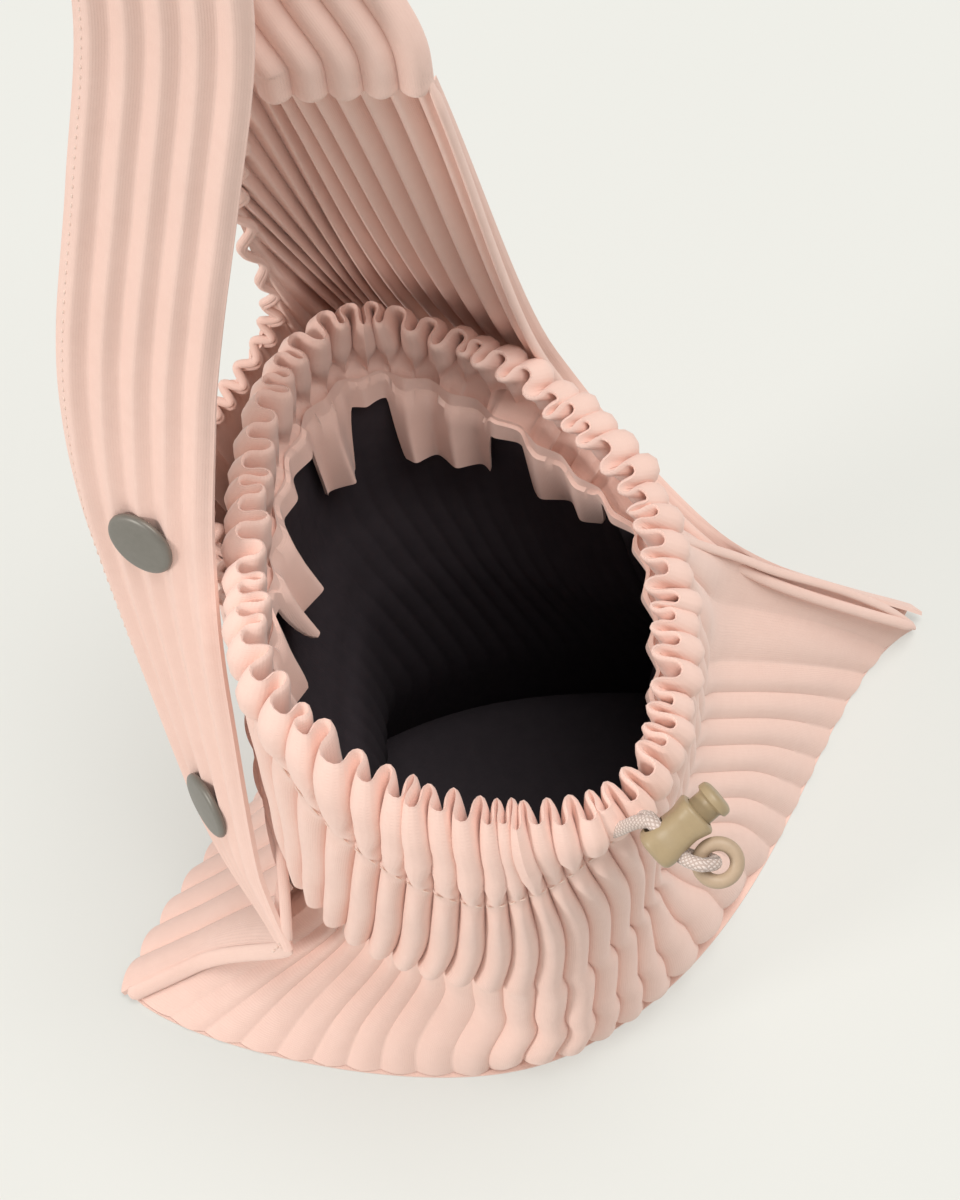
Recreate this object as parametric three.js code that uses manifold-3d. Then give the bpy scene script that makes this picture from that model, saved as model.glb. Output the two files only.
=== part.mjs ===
// Pleated drawstring crossbody bag, standing on its base with the strap held up.
// Millimetres, +Z up. +X points to the right tip of the base, -Y to the front.
// The origin is on the floor, halfway between the two tips of the base.
import * as THREE from 'three';
import Module from 'manifold-3d';

const wasm = await Module();
wasm.setup();

// Cloth and pleats
const CLOTH = 1.1;
const PLEATS_FRONT = 28;
const PLEATS_BACK = 28;
const PANEL_PLEATS = 25;
const STRAP_RIBS = 5;
const SEAT = 0.3;

// Base panel
const BASE_THICK = 1.2;
const BASE_BACK_EXTRA = 9;

// Cord tunnel at the rim, as offsets from the rim line
const STITCH = 0.88;
const CORD_LEVEL = 0.93;
const CAVITY_TOP = 0.96;
const CAVITY_HALF = 2.5;
const SLIT_HALF = 0.45;
const TUNNEL_VALLEY = 3.3;
const TUNNEL_LOBE = 3.7;
const TOP_SWAY = 2.6;
const FACING_END = 0.79;
const FACING_IN = -9.4;

// Drawcord, lock and ring
const CORD_R = 1.7;
const RING_R = 4.5;
const RING_TUBE = 1.75;
const TURN_R = RING_TUBE + CORD_R + 0.35;
const LOCK_AT = new THREE.Vector3(-11.0, -85.3, 152.6);
const LOCK_CORD_DIR = new THREE.Vector3(0.298, -0.846, -0.451).normalize();
const LOCK_BUTTON_DIR = new THREE.Vector3(0.910, 0.115, 0.408);
const LOCK_SIZE = { along: 10.6, across: 14.6, deep: 12.4 };
const LOCK_ROUND = 3.2;
const CHANNEL = { high: 4.9, wide: 9, at: -2.6 };
const STRAND_GAP = 4.4;
const BUTTON_R = 3.7;
const BUTTON_HEAD_R = 4.7;
const BUTTON_OUT = 5.2;
const BUTTON_GAP = 3.6;
const BORE_PLAY = 0.3;

// Snap caps
const SNAP_R = 9;
const SNAP_HIGH = 2.6;

// Strap
const STRAP_WIDE = 38;
const STRAP_THICK = 2.2;
const STRAP_RIB = 1.2;

// Cross sections of the pouch from the floor (t 0) to the rim (t 1).
// twist slides the front pleats along the section, as a share of its length.
const SECTION_COLUMNS = ['t', 'z', 'left', 'right', 'crown', 'midLeft', 'midRight', 'front', 'back',
  'flareLeft', 'flareRight', 'flareBack', 'tilt', 'pleat', 'twist'];
const SECTIONS = [
  [0.00, 1.5, -119, 119, -24, 0, 0, 66, 41, 1.7, 3.6, 2.0, 0.00, 2.4, 0.000],
  [0.08, 14, -98, 112, -24, -5, 1, 67, 42, 1.9, 3.9, 2.0, 0.02, 2.8, -0.018],
  [0.20, 39, -73, 95, -24, -12, 2, 63, 45, 2.2, 4.0, 2.0, 0.14, 3.0, -0.032],
  [0.34, 69, -75, 71, -26, -13, 3, 62, 49, 1.9, 3.8, 2.0, 0.32, 3.0, -0.028],
  [0.41, 79, -78, 64, -27, -12, 3, 62, 51, 0.95, 3.5, 2.0, 0.32, 3.0, -0.010],
  [0.65, 110, -80, 44, -27, -9, 0, 65, 57, 0.9, 2.0, 2.0, 0.15, 3.0, 0.013],
  [0.80, 134, -80, 31, -25, -7, -6, 65, 62, 1.0, 1.7, 2.0, 0.18, 3.0, 0.025],
  [0.88, 148, -79, 25, -23, -5, -9, 63, 66, 1.0, 1.6, 2.0, 0.20, 1.4, 0.032],
  [1.00, 165, -79, 21, -22, -3, -11, 63, 70, 1.0, 1.6, 2.0, 0.21, 1.4, 0.032],
];

// Top edge of the back panel: the elastic hem from the knee, then the strap seam
const HEM_COLUMNS = ['u', 'x', 'y', 'z'];
const HEM = [
  [0.00, -85, -6, 27],
  [0.08, -80, 3, 37],
  [0.16, -77, 13, 52],
  [0.25, -73, 27, 75],
  [0.33, -68, 41, 98],
  [0.40, -62, 54, 119],
  [0.47, -65, 63, 133],
  [0.53, -56, 69, 143],
  [0.59, -44, 72.5, 153],
  [0.64, -34, 75, 168],
  [0.69, -37, 72, 190],
  [0.74, -42, 67, 216],
  [0.79, -45.5, 62, 247],
  [0.82, -42.5, 56.5, 297],
  [1.00, -9, 32, 297],
];

// Ribs of the back panel: points a third and two thirds of the way up each
const RIB_COLUMNS = ['u', 'x1', 'y1', 'z1', 'x2', 'y2', 'z2'];
const RIBS = [
  [0.00, -107, 1, 10, -95, -3, 19],
  [0.16, -90, 20, 19, -83, 18, 36],
  [0.33, -66, 43, 35, -69, 45, 68],
  [0.47, -38, 55, 48, -53, 63, 92],
  [0.58, -12, 58, 52, -34, 72, 106],
  [0.64, 5, 58, 56, -20, 75, 114],
  [0.75, 26, 45, 62, -14, 77, 142],
  [0.87, 46, 28, 74, 5, 64, 158],
  [1.00, 54, 13, 90, 21, 37, 158],
];
const RIB_LOW = 0.34;
const RIB_HIGH = 0.67;

// Strap, from the knee up the left, over the top and down to the fan.
// turn is how far the face is turned away from the front, in degrees.
const STRAP_COLUMNS = ['w', 'x', 'y', 'z', 'turn'];
const STRAP_PATH = [
  [0.000, -86.5, -16.5, 45, 78],
  [0.045, -87.5, -1, 62, 75],
  [0.080, -87.5, 8.5, 79, 71],
  [0.145, -87.5, 23, 120, 61],
  [0.215, -86.5, 36, 163, 45],
  [0.290, -82, 45, 210, 24],
  [0.330, -78, 48, 235, 18],
  [0.400, -70.6, 50, 279, 18],
  [0.500, -63.7, 49.5, 345, 20],
  [0.580, -64, 54, 400, 16],
  [0.620, -63, 63, 423, 10],
  [0.650, -57, 72, 431, 6],
  [0.690, -50, 76, 418, 4],
  [0.760, -43, 70, 378, 2],
  [0.860, -34, 55, 330, 0],
  [0.960, -26.4, 44.9, 306, 0],
  [1.000, -26, 44.4, 299.2, 0],
];
const SNAPS = { snap_cap_upper: 0.219, snap_cap_lower: 0.076 };

const PINK = 0xeccabc;
const LINING_BLACK = 0x1b1a1d;
const TAN = 0xa08c69;
const CORD_TAUPE = 0xcdbfb4;
const SNAP_GREY = 0x7d7a73;

// Directions across the face of the strap and out of it at the front
const ACROSS = new THREE.Vector3(0.883, -0.469, 0);
const TOWARD = new THREE.Vector3(-0.228, -0.428, 0.875);

function clamp(x, low, high) {
  return Math.min(Math.max(x, low), high);
}

function mix(a, b, f) {
  return a + (b - a) * f;
}

function smooth(from, to, x) {
  const f = clamp((x - from) / (to - from), 0, 1);
  return f * f * (3 - 2 * f);
}

// Smooth curve through the rows of a table; the first column is the parameter.
function sample(columns, rows, at) {
  const last = rows.length - 1;
  const t = clamp(at, rows[0][0], rows[last][0]);
  let i = 0;
  while (i < last - 1 && t > rows[i + 1][0]) {
    i += 1;
  }
  const h = rows[i + 1][0] - rows[i][0];
  const f = (t - rows[i][0]) / h;
  const out = {};
  columns.forEach((name, c) => {
    const slope = (k) => (rows[k + 1][c] - rows[k][c]) / (rows[k + 1][0] - rows[k][0]);
    const knot = (k) => {
      if (k === 0) {
        return slope(0);
      }
      if (k === last) {
        return slope(last - 1);
      }
      const a = slope(k - 1);
      const b = slope(k);
      return a * b <= 0 ? 0 : (2 * a * b) / (a + b);
    };
    const p0 = rows[i][c];
    const p1 = rows[i + 1][c];
    const m0 = knot(i) * h;
    const m1 = knot(i + 1) * h;
    const f2 = f * f;
    const f3 = f2 * f;
    out[name] = (2 * f3 - 3 * f2 + 1) * p0 + (f3 - 2 * f2 + f) * m0
      + (3 * f2 - 2 * f3) * p1 + (f3 - f2) * m1;
  });
  return out;
}

// Point of a pouch section at an angle; pi is the left seam, 2 pi the right seam.
function sectionPoint(row, angle) {
  const c = Math.cos(angle);
  const s = Math.sin(angle);
  const half = c < 0 ? row.crown - row.left : row.right - row.crown;
  const x = row.crown + half * c;
  const mid = mix(row.midLeft, row.midRight, clamp((x - row.left) / (row.right - row.left), 0, 1));
  const flare = mix(s < 0 ? row.flareLeft : row.flareBack, row.flareRight, (c + 1) / 2);
  const reach = (s < 0 ? -row.front : row.back) * Math.abs(s) ** flare;
  return new THREE.Vector3(x, mid + reach, row.z + row.tilt * reach);
}

// Section of the pouch at height t, drawn in by inset, evenly spaced along its length.
const STEPS = 160;
function section(t, inset = 0, tipInset = inset) {
  const row = sample(SECTION_COLUMNS, SECTIONS, t);
  row.left += tipInset;
  row.right -= tipInset;
  row.front -= inset;
  row.back -= inset;
  const halves = [0, 1].map((half) => {
    const points = [];
    const lengths = [0];
    for (let i = 0; i <= STEPS; i += 1) {
      points.push(sectionPoint(row, Math.PI * (1 + half + i / STEPS)));
      if (i > 0) {
        lengths.push(lengths[i - 1] + points[i].distanceTo(points[i - 1]));
      }
    }
    return { points, lengths };
  });
  const locate = (s) => {
    const plain = ((s % 1) + 1) % 1;
    const turn = plain + row.twist * smooth(0, 0.08, plain) * smooth(0.46, 0.26, plain);
    const { points, lengths } = halves[turn < 0.5 ? 0 : 1];
    const want = (turn < 0.5 ? turn : turn - 0.5) * 2 * lengths[STEPS];
    let i = 1;
    while (i < STEPS && lengths[i] < want) {
      i += 1;
    }
    const f = (want - lengths[i - 1]) / (lengths[i] - lengths[i - 1]);
    return points[i - 1].clone().lerp(points[i], clamp(f, 0, 1));
  };
  const normal = (s) => {
    const d = locate(s + 0.004).sub(locate(s - 0.004));
    return new THREE.Vector3(d.y, -d.x, 0).normalize();
  };
  return { row, locate, normal };
}

// Stations round the pouch: each pleat has a valley and a flat crest.
function stations() {
  const list = [];
  const front = [[0, 0], [1 / 3, 1], [2 / 3, 1]];
  const back = [[0, 0], [1 / 2, 1]];
  for (let i = 0; i < PLEATS_FRONT; i += 1) {
    front.forEach(([f, crest]) => list.push({ s: ((i + f) / PLEATS_FRONT) / 2, crest }));
  }
  for (let i = 0; i < PLEATS_BACK; i += 1) {
    back.forEach(([f, crest]) => list.push({ s: 0.5 + ((i + f) / PLEATS_BACK) / 2, crest }));
  }
  return list;
}

// Mesh from a grid of points, closed or open along each way, with given caps.
function gridFaces(rows, columns, closeRows, closeColumns) {
  const faces = [];
  const lastRow = closeRows ? rows : rows - 1;
  const lastColumn = closeColumns ? columns : columns - 1;
  for (let i = 0; i < lastRow; i += 1) {
    for (let j = 0; j < lastColumn; j += 1) {
      const a = i * columns + j;
      const b = i * columns + ((j + 1) % columns);
      const c = ((i + 1) % rows) * columns + ((j + 1) % columns);
      const d = ((i + 1) % rows) * columns + j;
      faces.push([a, b, c], [a, c, d]);
    }
  }
  return faces;
}

function volumeOf(points, faces) {
  let sum = 0;
  faces.forEach(([a, b, c]) => {
    sum += points[a].dot(points[b].clone().cross(points[c]));
  });
  return sum / 6;
}

// Closed geometry from points and triangles, turned to face outwards.
function closedGeometry(points, faces) {
  const out = volumeOf(points, faces) < 0 ? faces.map(([a, b, c]) => [a, c, b]) : faces;
  const geometry = new THREE.BufferGeometry();
  geometry.setAttribute('position', new THREE.Float32BufferAttribute(points.flatMap((p) => p.toArray()), 3));
  geometry.setIndex(out.flat());
  return geometry;
}

// Ring of closed loops: closed both ways, like a tyre.
function ringGeometry(loops) {
  const count = loops[0].length;
  return closedGeometry(loops.flat(), gridFaces(loops.length, count, true, true));
}

// Stack of closed loops with a fan at each end.
function stackGeometry(loops) {
  const count = loops[0].length;
  const points = loops.flat();
  const faces = gridFaces(loops.length, count, false, true);
  [loops[0], loops[loops.length - 1]].forEach((loop, end) => {
    const centre = loop.reduce((sum, p) => sum.add(p), new THREE.Vector3()).divideScalar(count);
    const start = end === 0 ? 0 : (loops.length - 1) * count;
    points.push(centre);
    for (let j = 0; j < count; j += 1) {
      const a = start + j;
      const b = start + ((j + 1) % count);
      faces.push(end === 0 ? [points.length - 1, b, a] : [points.length - 1, a, b]);
    }
  });
  return closedGeometry(points, faces);
}

// Sheet with two faces given as equal grids, closed along its four edges.
function sheetGeometry(faceA, faceB) {
  const loops = faceA.map((row, i) => [...row, ...faceB[i].slice().reverse()]);
  const count = loops[0].length;
  const wide = faceA[0].length;
  const points = loops.flat();
  const faces = gridFaces(loops.length, count, false, true);
  [0, loops.length - 1].forEach((i, end) => {
    for (let j = 0; j < wide - 1; j += 1) {
      const a = i * count + j;
      const b = a + 1;
      const c = i * count + count - 2 - j;
      const d = c + 1;
      const quad = [[a, c, b], [a, d, c]];
      quad.forEach(([p, q, r]) => faces.push(end === 0 ? [p, q, r] : [p, r, q]));
    }
  });
  return closedGeometry(points, faces);
}

// Round tube along a line of points, with flat ends.
function tubeGeometry(path, radius, sides) {
  const loops = [];
  let side = new THREE.Vector3(0, 0, 1);
  path.forEach((p, i) => {
    const ahead = path[Math.min(i + 1, path.length - 1)];
    const behind = path[Math.max(i - 1, 0)];
    const along = ahead.clone().sub(behind).normalize();
    side = side.clone().addScaledVector(along, -side.dot(along)).normalize();
    const other = along.clone().cross(side);
    const loop = [];
    for (let j = 0; j < sides; j += 1) {
      const a = (2 * Math.PI * j) / sides;
      loop.push(p.clone().addScaledVector(side, radius * Math.cos(a)).addScaledVector(other, radius * Math.sin(a)));
    }
    loops.push(loop);
  });
  return stackGeometry(loops);
}

// Turned solid: profile of [radius, height] pairs from base to top, about an axis.
function turnedGeometry(profile, sides, origin, axis) {
  const place = new THREE.Quaternion().setFromUnitVectors(new THREE.Vector3(0, 0, 1), axis.clone().normalize());
  const loops = profile.map(([r, h]) => {
    const loop = [];
    for (let j = 0; j < sides; j += 1) {
      const a = (2 * Math.PI * j) / sides;
      loop.push(new THREE.Vector3(r * Math.cos(a), r * Math.sin(a), h).applyQuaternion(place).add(origin));
    }
    return loop;
  });
  return stackGeometry(loops);
}

function toSolid(geometry) {
  return new wasm.Manifold(new wasm.Mesh({
    numProp: 3,
    vertProperties: new Float32Array(geometry.attributes.position.array),
    triVerts: new Uint32Array(geometry.index.array),
  }));
}

function fromSolid(solid) {
  const mesh = solid.getMesh();
  const points = [];
  for (let i = 0; i < mesh.vertProperties.length; i += mesh.numProp) {
    points.push(...mesh.vertProperties.slice(i, i + 3));
  }
  const geometry = new THREE.BufferGeometry();
  geometry.setAttribute('position', new THREE.Float32BufferAttribute(points, 3));
  geometry.setIndex(Array.from(mesh.triVerts));
  return geometry;
}

function cut(geometry, tools) {
  return fromSolid(tools.reduce((solid, tool) => solid.subtract(toSolid(tool)), toSolid(geometry)));
}

// Box with rounded long edges: size along three axes about a centre.
function blockGeometry(centre, axes, size, round, steps) {
  const corners = [];
  const hx = size[0] / 2 - round;
  const hy = size[1] / 2 - round;
  for (let q = 0; q < 4; q += 1) {
    for (let k = 0; k <= steps; k += 1) {
      const a = (Math.PI / 2) * (q + k / steps);
      const sx = q === 0 || q === 3 ? hx : -hx;
      const sy = q < 2 ? hy : -hy;
      corners.push([sx + round * Math.cos(a), sy + round * Math.sin(a)]);
    }
  }
  const chamfer = round * 0.4;
  const levels = [[-size[2] / 2, -chamfer], [-size[2] / 2 + chamfer, 0], [size[2] / 2 - chamfer, 0],
    [size[2] / 2, -chamfer]];
  const loops = levels.map(([h, grow]) => corners.map(([x, y]) => {
    const len = Math.hypot(x, y);
    const f = (len + grow) / len;
    return centre.clone().addScaledVector(axes[0], x * f).addScaledVector(axes[1], y * f)
      .addScaledVector(axes[2], h);
  }));
  return stackGeometry(loops);
}

// Pouch wall: pleated outer face, cord tunnel folded over at the rim, facing hanging inside.
const WALL_LEVELS = [0, 0.1, 0.2, 0.38, 0.8];
const wallInset = (t) => CLOTH + 0.1 + 0.9 * (1 - t);
const wallTipInset = (t) => 1.2 + 8 * (1 - t) ** 2;

function pouchWall() {
  const outerLevels = WALL_LEVELS.map((t) => ({ t, at: section(t) }));
  const innerLevels = WALL_LEVELS.slice().reverse().map((t) => section(t, wallInset(t), wallTipInset(t)));
  const stitch = section(STITCH);
  const cordAt = section(CORD_LEVEL);
  const cavityTop = section(CAVITY_TOP);
  const lobes = section(0.945);
  const top = section(1);
  const facing = section(FACING_END);
  const put = (at, s, offset, drop = 0) => {
    const p = at.locate(s).addScaledVector(at.normal(s), offset);
    p.z -= drop;
    return p;
  };
  const loops = stations().map(({ s, crest }) => {
    const nearTip = Math.min(Math.abs(s - 0.5), s, 1 - s);
    const loop = outerLevels.map(({ t, at }) => {
      const calm = clamp(nearTip / 0.03, 0, 1);
      return put(at, s, at.row.pleat * crest * mix(calm, 1, t));
    });
    loop.push(put(stitch, s, 1.5 + 1.2 * crest));
    loop.push(put(lobes, s, TUNNEL_VALLEY + TUNNEL_LOBE * crest));
    loop.push(put(top, s, TOP_SWAY * (2 * crest - 1)));
    loop.push(put(lobes, s, -TUNNEL_VALLEY - TUNNEL_LOBE * (1 - crest)));
    loop.push(put(stitch, s, -2.7 + 1.2 * crest));
    loop.push(put(facing, s, FACING_IN + 2.5 * crest, 2 * crest));
    loop.push(put(facing, s, FACING_IN + 2.5 * crest + CLOTH, 2 * crest));
    loop.push(put(stitch, s, -SLIT_HALF));
    loop.push(put(cordAt, s, -CAVITY_HALF));
    loop.push(put(cavityTop, s, 0));
    loop.push(put(cordAt, s, CAVITY_HALF));
    loop.push(put(stitch, s, SLIT_HALF));
    innerLevels.forEach((at) => loop.push(put(at, s, 0)));
    return loop;
  });
  return ringGeometry(loops);
}

// Lining: smooth cup inside the wall, its top edge behind the facing.
const LINING_GAP = 1;
const LINING_THICK = 0.8;
const LINING_FLOOR = 1.9;
const LINING_COUNT = 40;

function lining() {
  const layer = (extra, floor) => WALL_LEVELS.map((t) => {
    const at = section(t, wallInset(t) + extra, wallTipInset(t) + extra * (1.5 + 15 * Math.max(0.8 - t, 0)));
    const loop = [];
    for (let j = 0; j < LINING_COUNT; j += 1) {
      const p = at.locate(j / LINING_COUNT);
      p.z = t === 0 ? floor : p.z;
      loop.push(p);
    }
    return loop;
  });
  const outer = layer(LINING_GAP, LINING_FLOOR);
  const inner = layer(LINING_GAP + LINING_THICK, LINING_FLOOR + LINING_THICK);
  return stackGeometry([...outer, ...inner.reverse()]);
}

// Base panel: flat lens under the pouch and the back panel.
const BASE_COUNT = 44;

function basePanel() {
  const row = sample(SECTION_COLUMNS, SECTIONS, 0);
  row.back += BASE_BACK_EXTRA;
  row.front += 1.6;
  row.left -= 1;
  row.right += 1;
  const loops = [0, BASE_THICK].map((z) => {
    const loop = [];
    for (let j = 0; j < BASE_COUNT; j += 1) {
      const p = sectionPoint(row, Math.PI * (1 + (2 * j) / BASE_COUNT));
      p.z = z;
      loop.push(p);
    }
    return loop;
  });
  return stackGeometry(loops);
}

// Back panel: ribs from the base outline up to the elastic hem and the strap seam.
const PANEL_PLEAT = 2.2;
const PANEL_THICK = 1.2;
const PANEL_LEVELS = [0, 0.17, 0.34, 0.52, 0.67, 0.84, 1];

function panelPoint(u, v, foot) {
  const bottom = foot.locate(1 - u / 2);
  bottom.addScaledVector(foot.normal(1 - u / 2), 6.2 * Math.sin(Math.PI * clamp(u, 0.06, 0.94)) + 1.4);
  bottom.y += 3.6 * Math.abs(2 * u - 1) ** 6;
  bottom.z = BASE_THICK + SEAT;
  const rib = sample(RIB_COLUMNS, RIBS, u);
  const top = sample(HEM_COLUMNS, HEM, u);
  const at = sample(HEM_COLUMNS, [
    [0, bottom.x, bottom.y, bottom.z],
    [RIB_LOW, rib.x1, rib.y1, rib.z1],
    [RIB_HIGH, rib.x2, rib.y2, rib.z2],
    [1, top.x, top.y, top.z],
  ], v);
  return new THREE.Vector3(at.x, at.y, at.z);
}

function backPanel() {
  const foot = section(0);
  const front = [];
  const back = [];
  const marks = [];
  for (let i = 0; i < PANEL_PLEATS; i += 1) {
    marks.push([i / PANEL_PLEATS, 0], [(i + 0.5) / PANEL_PLEATS, 1]);
  }
  marks.push([1, 0]);
  marks.forEach(([u, crest]) => {
    const inner = [];
    const outer = [];
    PANEL_LEVELS.forEach((v) => {
      const p = panelPoint(u, v, foot);
      const du = panelPoint(Math.min(u + 0.02, 1), v, foot).sub(panelPoint(Math.max(u - 0.02, 0), v, foot));
      const dv = panelPoint(u, Math.min(v + 0.05, 1), foot).sub(panelPoint(u, Math.max(v - 0.05, 0), foot));
      const out = dv.cross(du).normalize();
      const fold = PANEL_PLEAT * crest;
      inner.push(p.clone().addScaledVector(out, fold));
      outer.push(p.clone().addScaledVector(out, fold + PANEL_THICK));
    });
    front.push(inner);
    back.push(outer);
  });
  return sheetGeometry(front, back);
}

// Strap frame at w: centre, along, across (left edge to right edge) and out of the face.
function strapFrame(w) {
  const at = (q) => {
    const r = sample(STRAP_COLUMNS, STRAP_PATH, q);
    return new THREE.Vector3(r.x, r.y, r.z);
  };
  const along = at(Math.min(w + 0.006, 1)).sub(at(Math.max(w - 0.006, 0))).normalize();
  const turn = THREE.MathUtils.degToRad(sample(STRAP_COLUMNS, STRAP_PATH, w).turn);
  const across = ACROSS.clone().multiplyScalar(Math.cos(turn)).addScaledVector(TOWARD, Math.sin(turn));
  across.addScaledVector(along, -across.dot(along)).normalize();
  const out = across.clone().cross(along).normalize();
  return { centre: at(w), along, across, out };
}

const STRAP_STEPS = 24;

function strap() {
  const outerFace = [];
  const innerFace = [];
  for (let i = 0; i <= STRAP_STEPS; i += 1) {
    const { centre, across, out } = strapFrame(i / STRAP_STEPS);
    const outerRow = [];
    const innerRow = [];
    for (let k = 0; k <= 2 * STRAP_RIBS; k += 1) {
      const reach = (k / (2 * STRAP_RIBS) - 0.5) * STRAP_WIDE;
      const rib = k % 2 === 0 ? 0 : STRAP_RIB;
      outerRow.push(centre.clone().addScaledVector(across, reach).addScaledVector(out, STRAP_THICK / 2 + rib));
      innerRow.push(centre.clone().addScaledVector(across, reach).addScaledVector(out, rib - STRAP_THICK / 2));
    }
    outerFace.push(outerRow);
    innerFace.push(innerRow);
  }
  return sheetGeometry(outerFace, innerFace);
}

// Domed snap cap on the outer face of the strap.
function snapCap(w) {
  const { centre, out } = strapFrame(w);
  const seat = centre.clone().addScaledVector(out, STRAP_THICK / 2 + STRAP_RIB + SEAT);
  const profile = [[SNAP_R - 0.5, 0], [SNAP_R, 0.5], [SNAP_R - 0.3, 1.4], [SNAP_R - 1.6, SNAP_HIGH]];
  return turnedGeometry(profile, 18, seat, out);
}

// Lock axes: the cord runs along the first, the button along the second.
const lockAlong = LOCK_CORD_DIR;
const lockUp = LOCK_BUTTON_DIR.clone().addScaledVector(lockAlong, -LOCK_BUTTON_DIR.dot(lockAlong)).normalize();
const lockDeep = lockAlong.clone().cross(lockUp);
const lockPoint = (a, b, c) => LOCK_AT.clone().addScaledVector(lockAlong, a).addScaledVector(lockUp, b)
  .addScaledVector(lockDeep, c);

function cordLock() {
  const body = blockGeometry(LOCK_AT, [lockUp, lockDeep, lockAlong],
    [LOCK_SIZE.across, LOCK_SIZE.deep, LOCK_SIZE.along], LOCK_ROUND, 4);
  const channel = blockGeometry(lockPoint(0, CHANNEL.at, 0), [lockUp, lockDeep, lockAlong],
    [CHANNEL.high, CHANNEL.wide, LOCK_SIZE.along + 4], 2.1, 3);
  const floor = CHANNEL.at + CHANNEL.high / 2 + 1;
  const bore = turnedGeometry([[BUTTON_R + BORE_PLAY, 0], [BUTTON_R + BORE_PLAY, 20]], 20,
    lockPoint(0, floor, 0), lockUp);
  return cut(body, [channel, bore]);
}

function lockButton() {
  const face = LOCK_SIZE.across / 2;
  const floor = CHANNEL.at + CHANNEL.high / 2 + 1;
  const foot = floor + BUTTON_GAP + 0.4;
  const profile = [[BUTTON_R, foot], [BUTTON_R, face + BUTTON_GAP - 0.2], [BUTTON_HEAD_R, face + BUTTON_GAP],
    [BUTTON_HEAD_R, face + BUTTON_OUT], [BUTTON_HEAD_R - 1, face + BUTTON_OUT + 1]];
  return turnedGeometry(profile, 20, LOCK_AT, lockUp);
}

// Cord: from inside the lock into the tunnel, round the rim, out through the lock and the ring.
const EXIT_S = 0.272;
const EXIT_HALF = 0.0135;
const RING_BEND = THREE.MathUtils.degToRad(45);
const RING_OUT = 1.2;
const TURN_OUT = 3.2;
const TUNNEL_STEPS = 46;

// The cord leaves the lock and bends towards the button's side before it turns through the ring.
const ringDir = lockAlong.clone().multiplyScalar(Math.cos(RING_BEND)).addScaledVector(lockUp, Math.sin(RING_BEND));
const ringPoint = (a, c) => lockPoint(LOCK_SIZE.along / 2 + RING_OUT, CHANNEL.at, c).addScaledVector(ringDir, a);

function cordPath() {
  const rim = section(CORD_LEVEL);
  const points = [];
  const steps = [];
  const low = CHANNEL.at;
  const half = STRAND_GAP / 2;
  const put = (p, fine) => {
    points.push(p);
    steps.push(fine);
  };
  put(lockPoint(-1, low, -half), 1);
  put(lockPoint(-LOCK_SIZE.along / 2 - 1, low, -half), 3);
  const start = EXIT_S + EXIT_HALF;
  const span = 1 - 2 * EXIT_HALF;
  for (let i = 0; i <= TUNNEL_STEPS; i += 1) {
    put(rim.locate(start + (span * i) / TUNNEL_STEPS), i === TUNNEL_STEPS ? 3 : 1);
  }
  put(lockPoint(-LOCK_SIZE.along / 2 - 1, low, half), 1);
  put(lockPoint(LOCK_SIZE.along / 2 - 1, low, half), 2);
  for (let k = 0; k <= 8; k += 1) {
    const a = Math.PI / 2 - (Math.PI * k) / 8;
    put(ringPoint(TURN_OUT + TURN_R * Math.cos(a), TURN_R * Math.sin(a)), k === 8 ? 2 : 1);
  }
  put(lockPoint(LOCK_SIZE.along / 2 - 1, low, -half), 1);
  put(lockPoint(1, low, -half), 1);
  const curve = new THREE.CatmullRomCurve3(points, false, 'centripetal');
  const fine = [];
  const last = points.length - 1;
  for (let i = 0; i < last; i += 1) {
    for (let k = 0; k < steps[i]; k += 1) {
      fine.push(curve.getPoint((i + k / steps[i]) / last));
    }
  }
  fine.push(points[last]);
  return fine;
}

function cordRing() {
  const ring = new THREE.TorusGeometry(RING_R, RING_TUBE, 7, 18);
  const centre = ringPoint(TURN_OUT + RING_R, 0);
  const turn = new THREE.Matrix4().makeBasis(ringDir, lockDeep.clone().cross(ringDir), lockDeep).setPosition(centre);
  ring.applyMatrix4(turn);
  return ring;
}

function drawcord() {
  return tubeGeometry(cordPath(), CORD_R, 6);
}

// Holes in the outer layer of the tunnel where the two ends of the cord come out.
const HOLE_PLAY = 0.4;

function exitHoles() {
  const path = cordPath();
  const back = path.length - 18;
  return [path.slice(0, 7), path.slice(back - 4, back + 4)].map((part) => tubeGeometry(part, CORD_R + HOLE_PLAY, 8));
}

const bag = new THREE.Group();
bag.name = 'pleated_crossbody_bag';

function add(name, geometry, color, roughness, metalness = 0) {
  const mesh = new THREE.Mesh(geometry, new THREE.MeshStandardMaterial({ color, roughness, metalness }));
  mesh.name = name;
  bag.add(mesh);
}

add('base_panel', basePanel(), PINK, 0.9);
add('pouch_wall', cut(pouchWall(), exitHoles()), PINK, 0.9);
add('lining', lining(), LINING_BLACK, 0.95);
add('back_panel', backPanel(), PINK, 0.9);
add('strap', strap(), PINK, 0.9);
Object.entries(SNAPS).forEach(([name, w]) => add(name, snapCap(w), SNAP_GREY, 0.45, 0.3));
add('drawcord', drawcord(), CORD_TAUPE, 0.85);
add('cord_lock', cordLock(), TAN, 0.5);
add('lock_button', lockButton(), TAN, 0.5);
add('cord_ring', cordRing(), TAN, 0.5);

export default bag;
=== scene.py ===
"""Pleated drawstring bag: cloth, lining, strap, snaps, cord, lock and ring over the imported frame.

Lengths are in millimetres and become metres when a mesh is made. A place on the pouch wall is s, once round
from the left tip (0) by the front to the right tip (0.5) and home by the back, and t, from the floor (0) to
the rim (1). A place on the back panel is u, from left to right, and v, from the floor up. A place along the
strap is w, from the knee over the top to the fan.
"""
import math
import bmesh
import bpy
import numpy as np
from mathutils import Matrix, Vector


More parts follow.
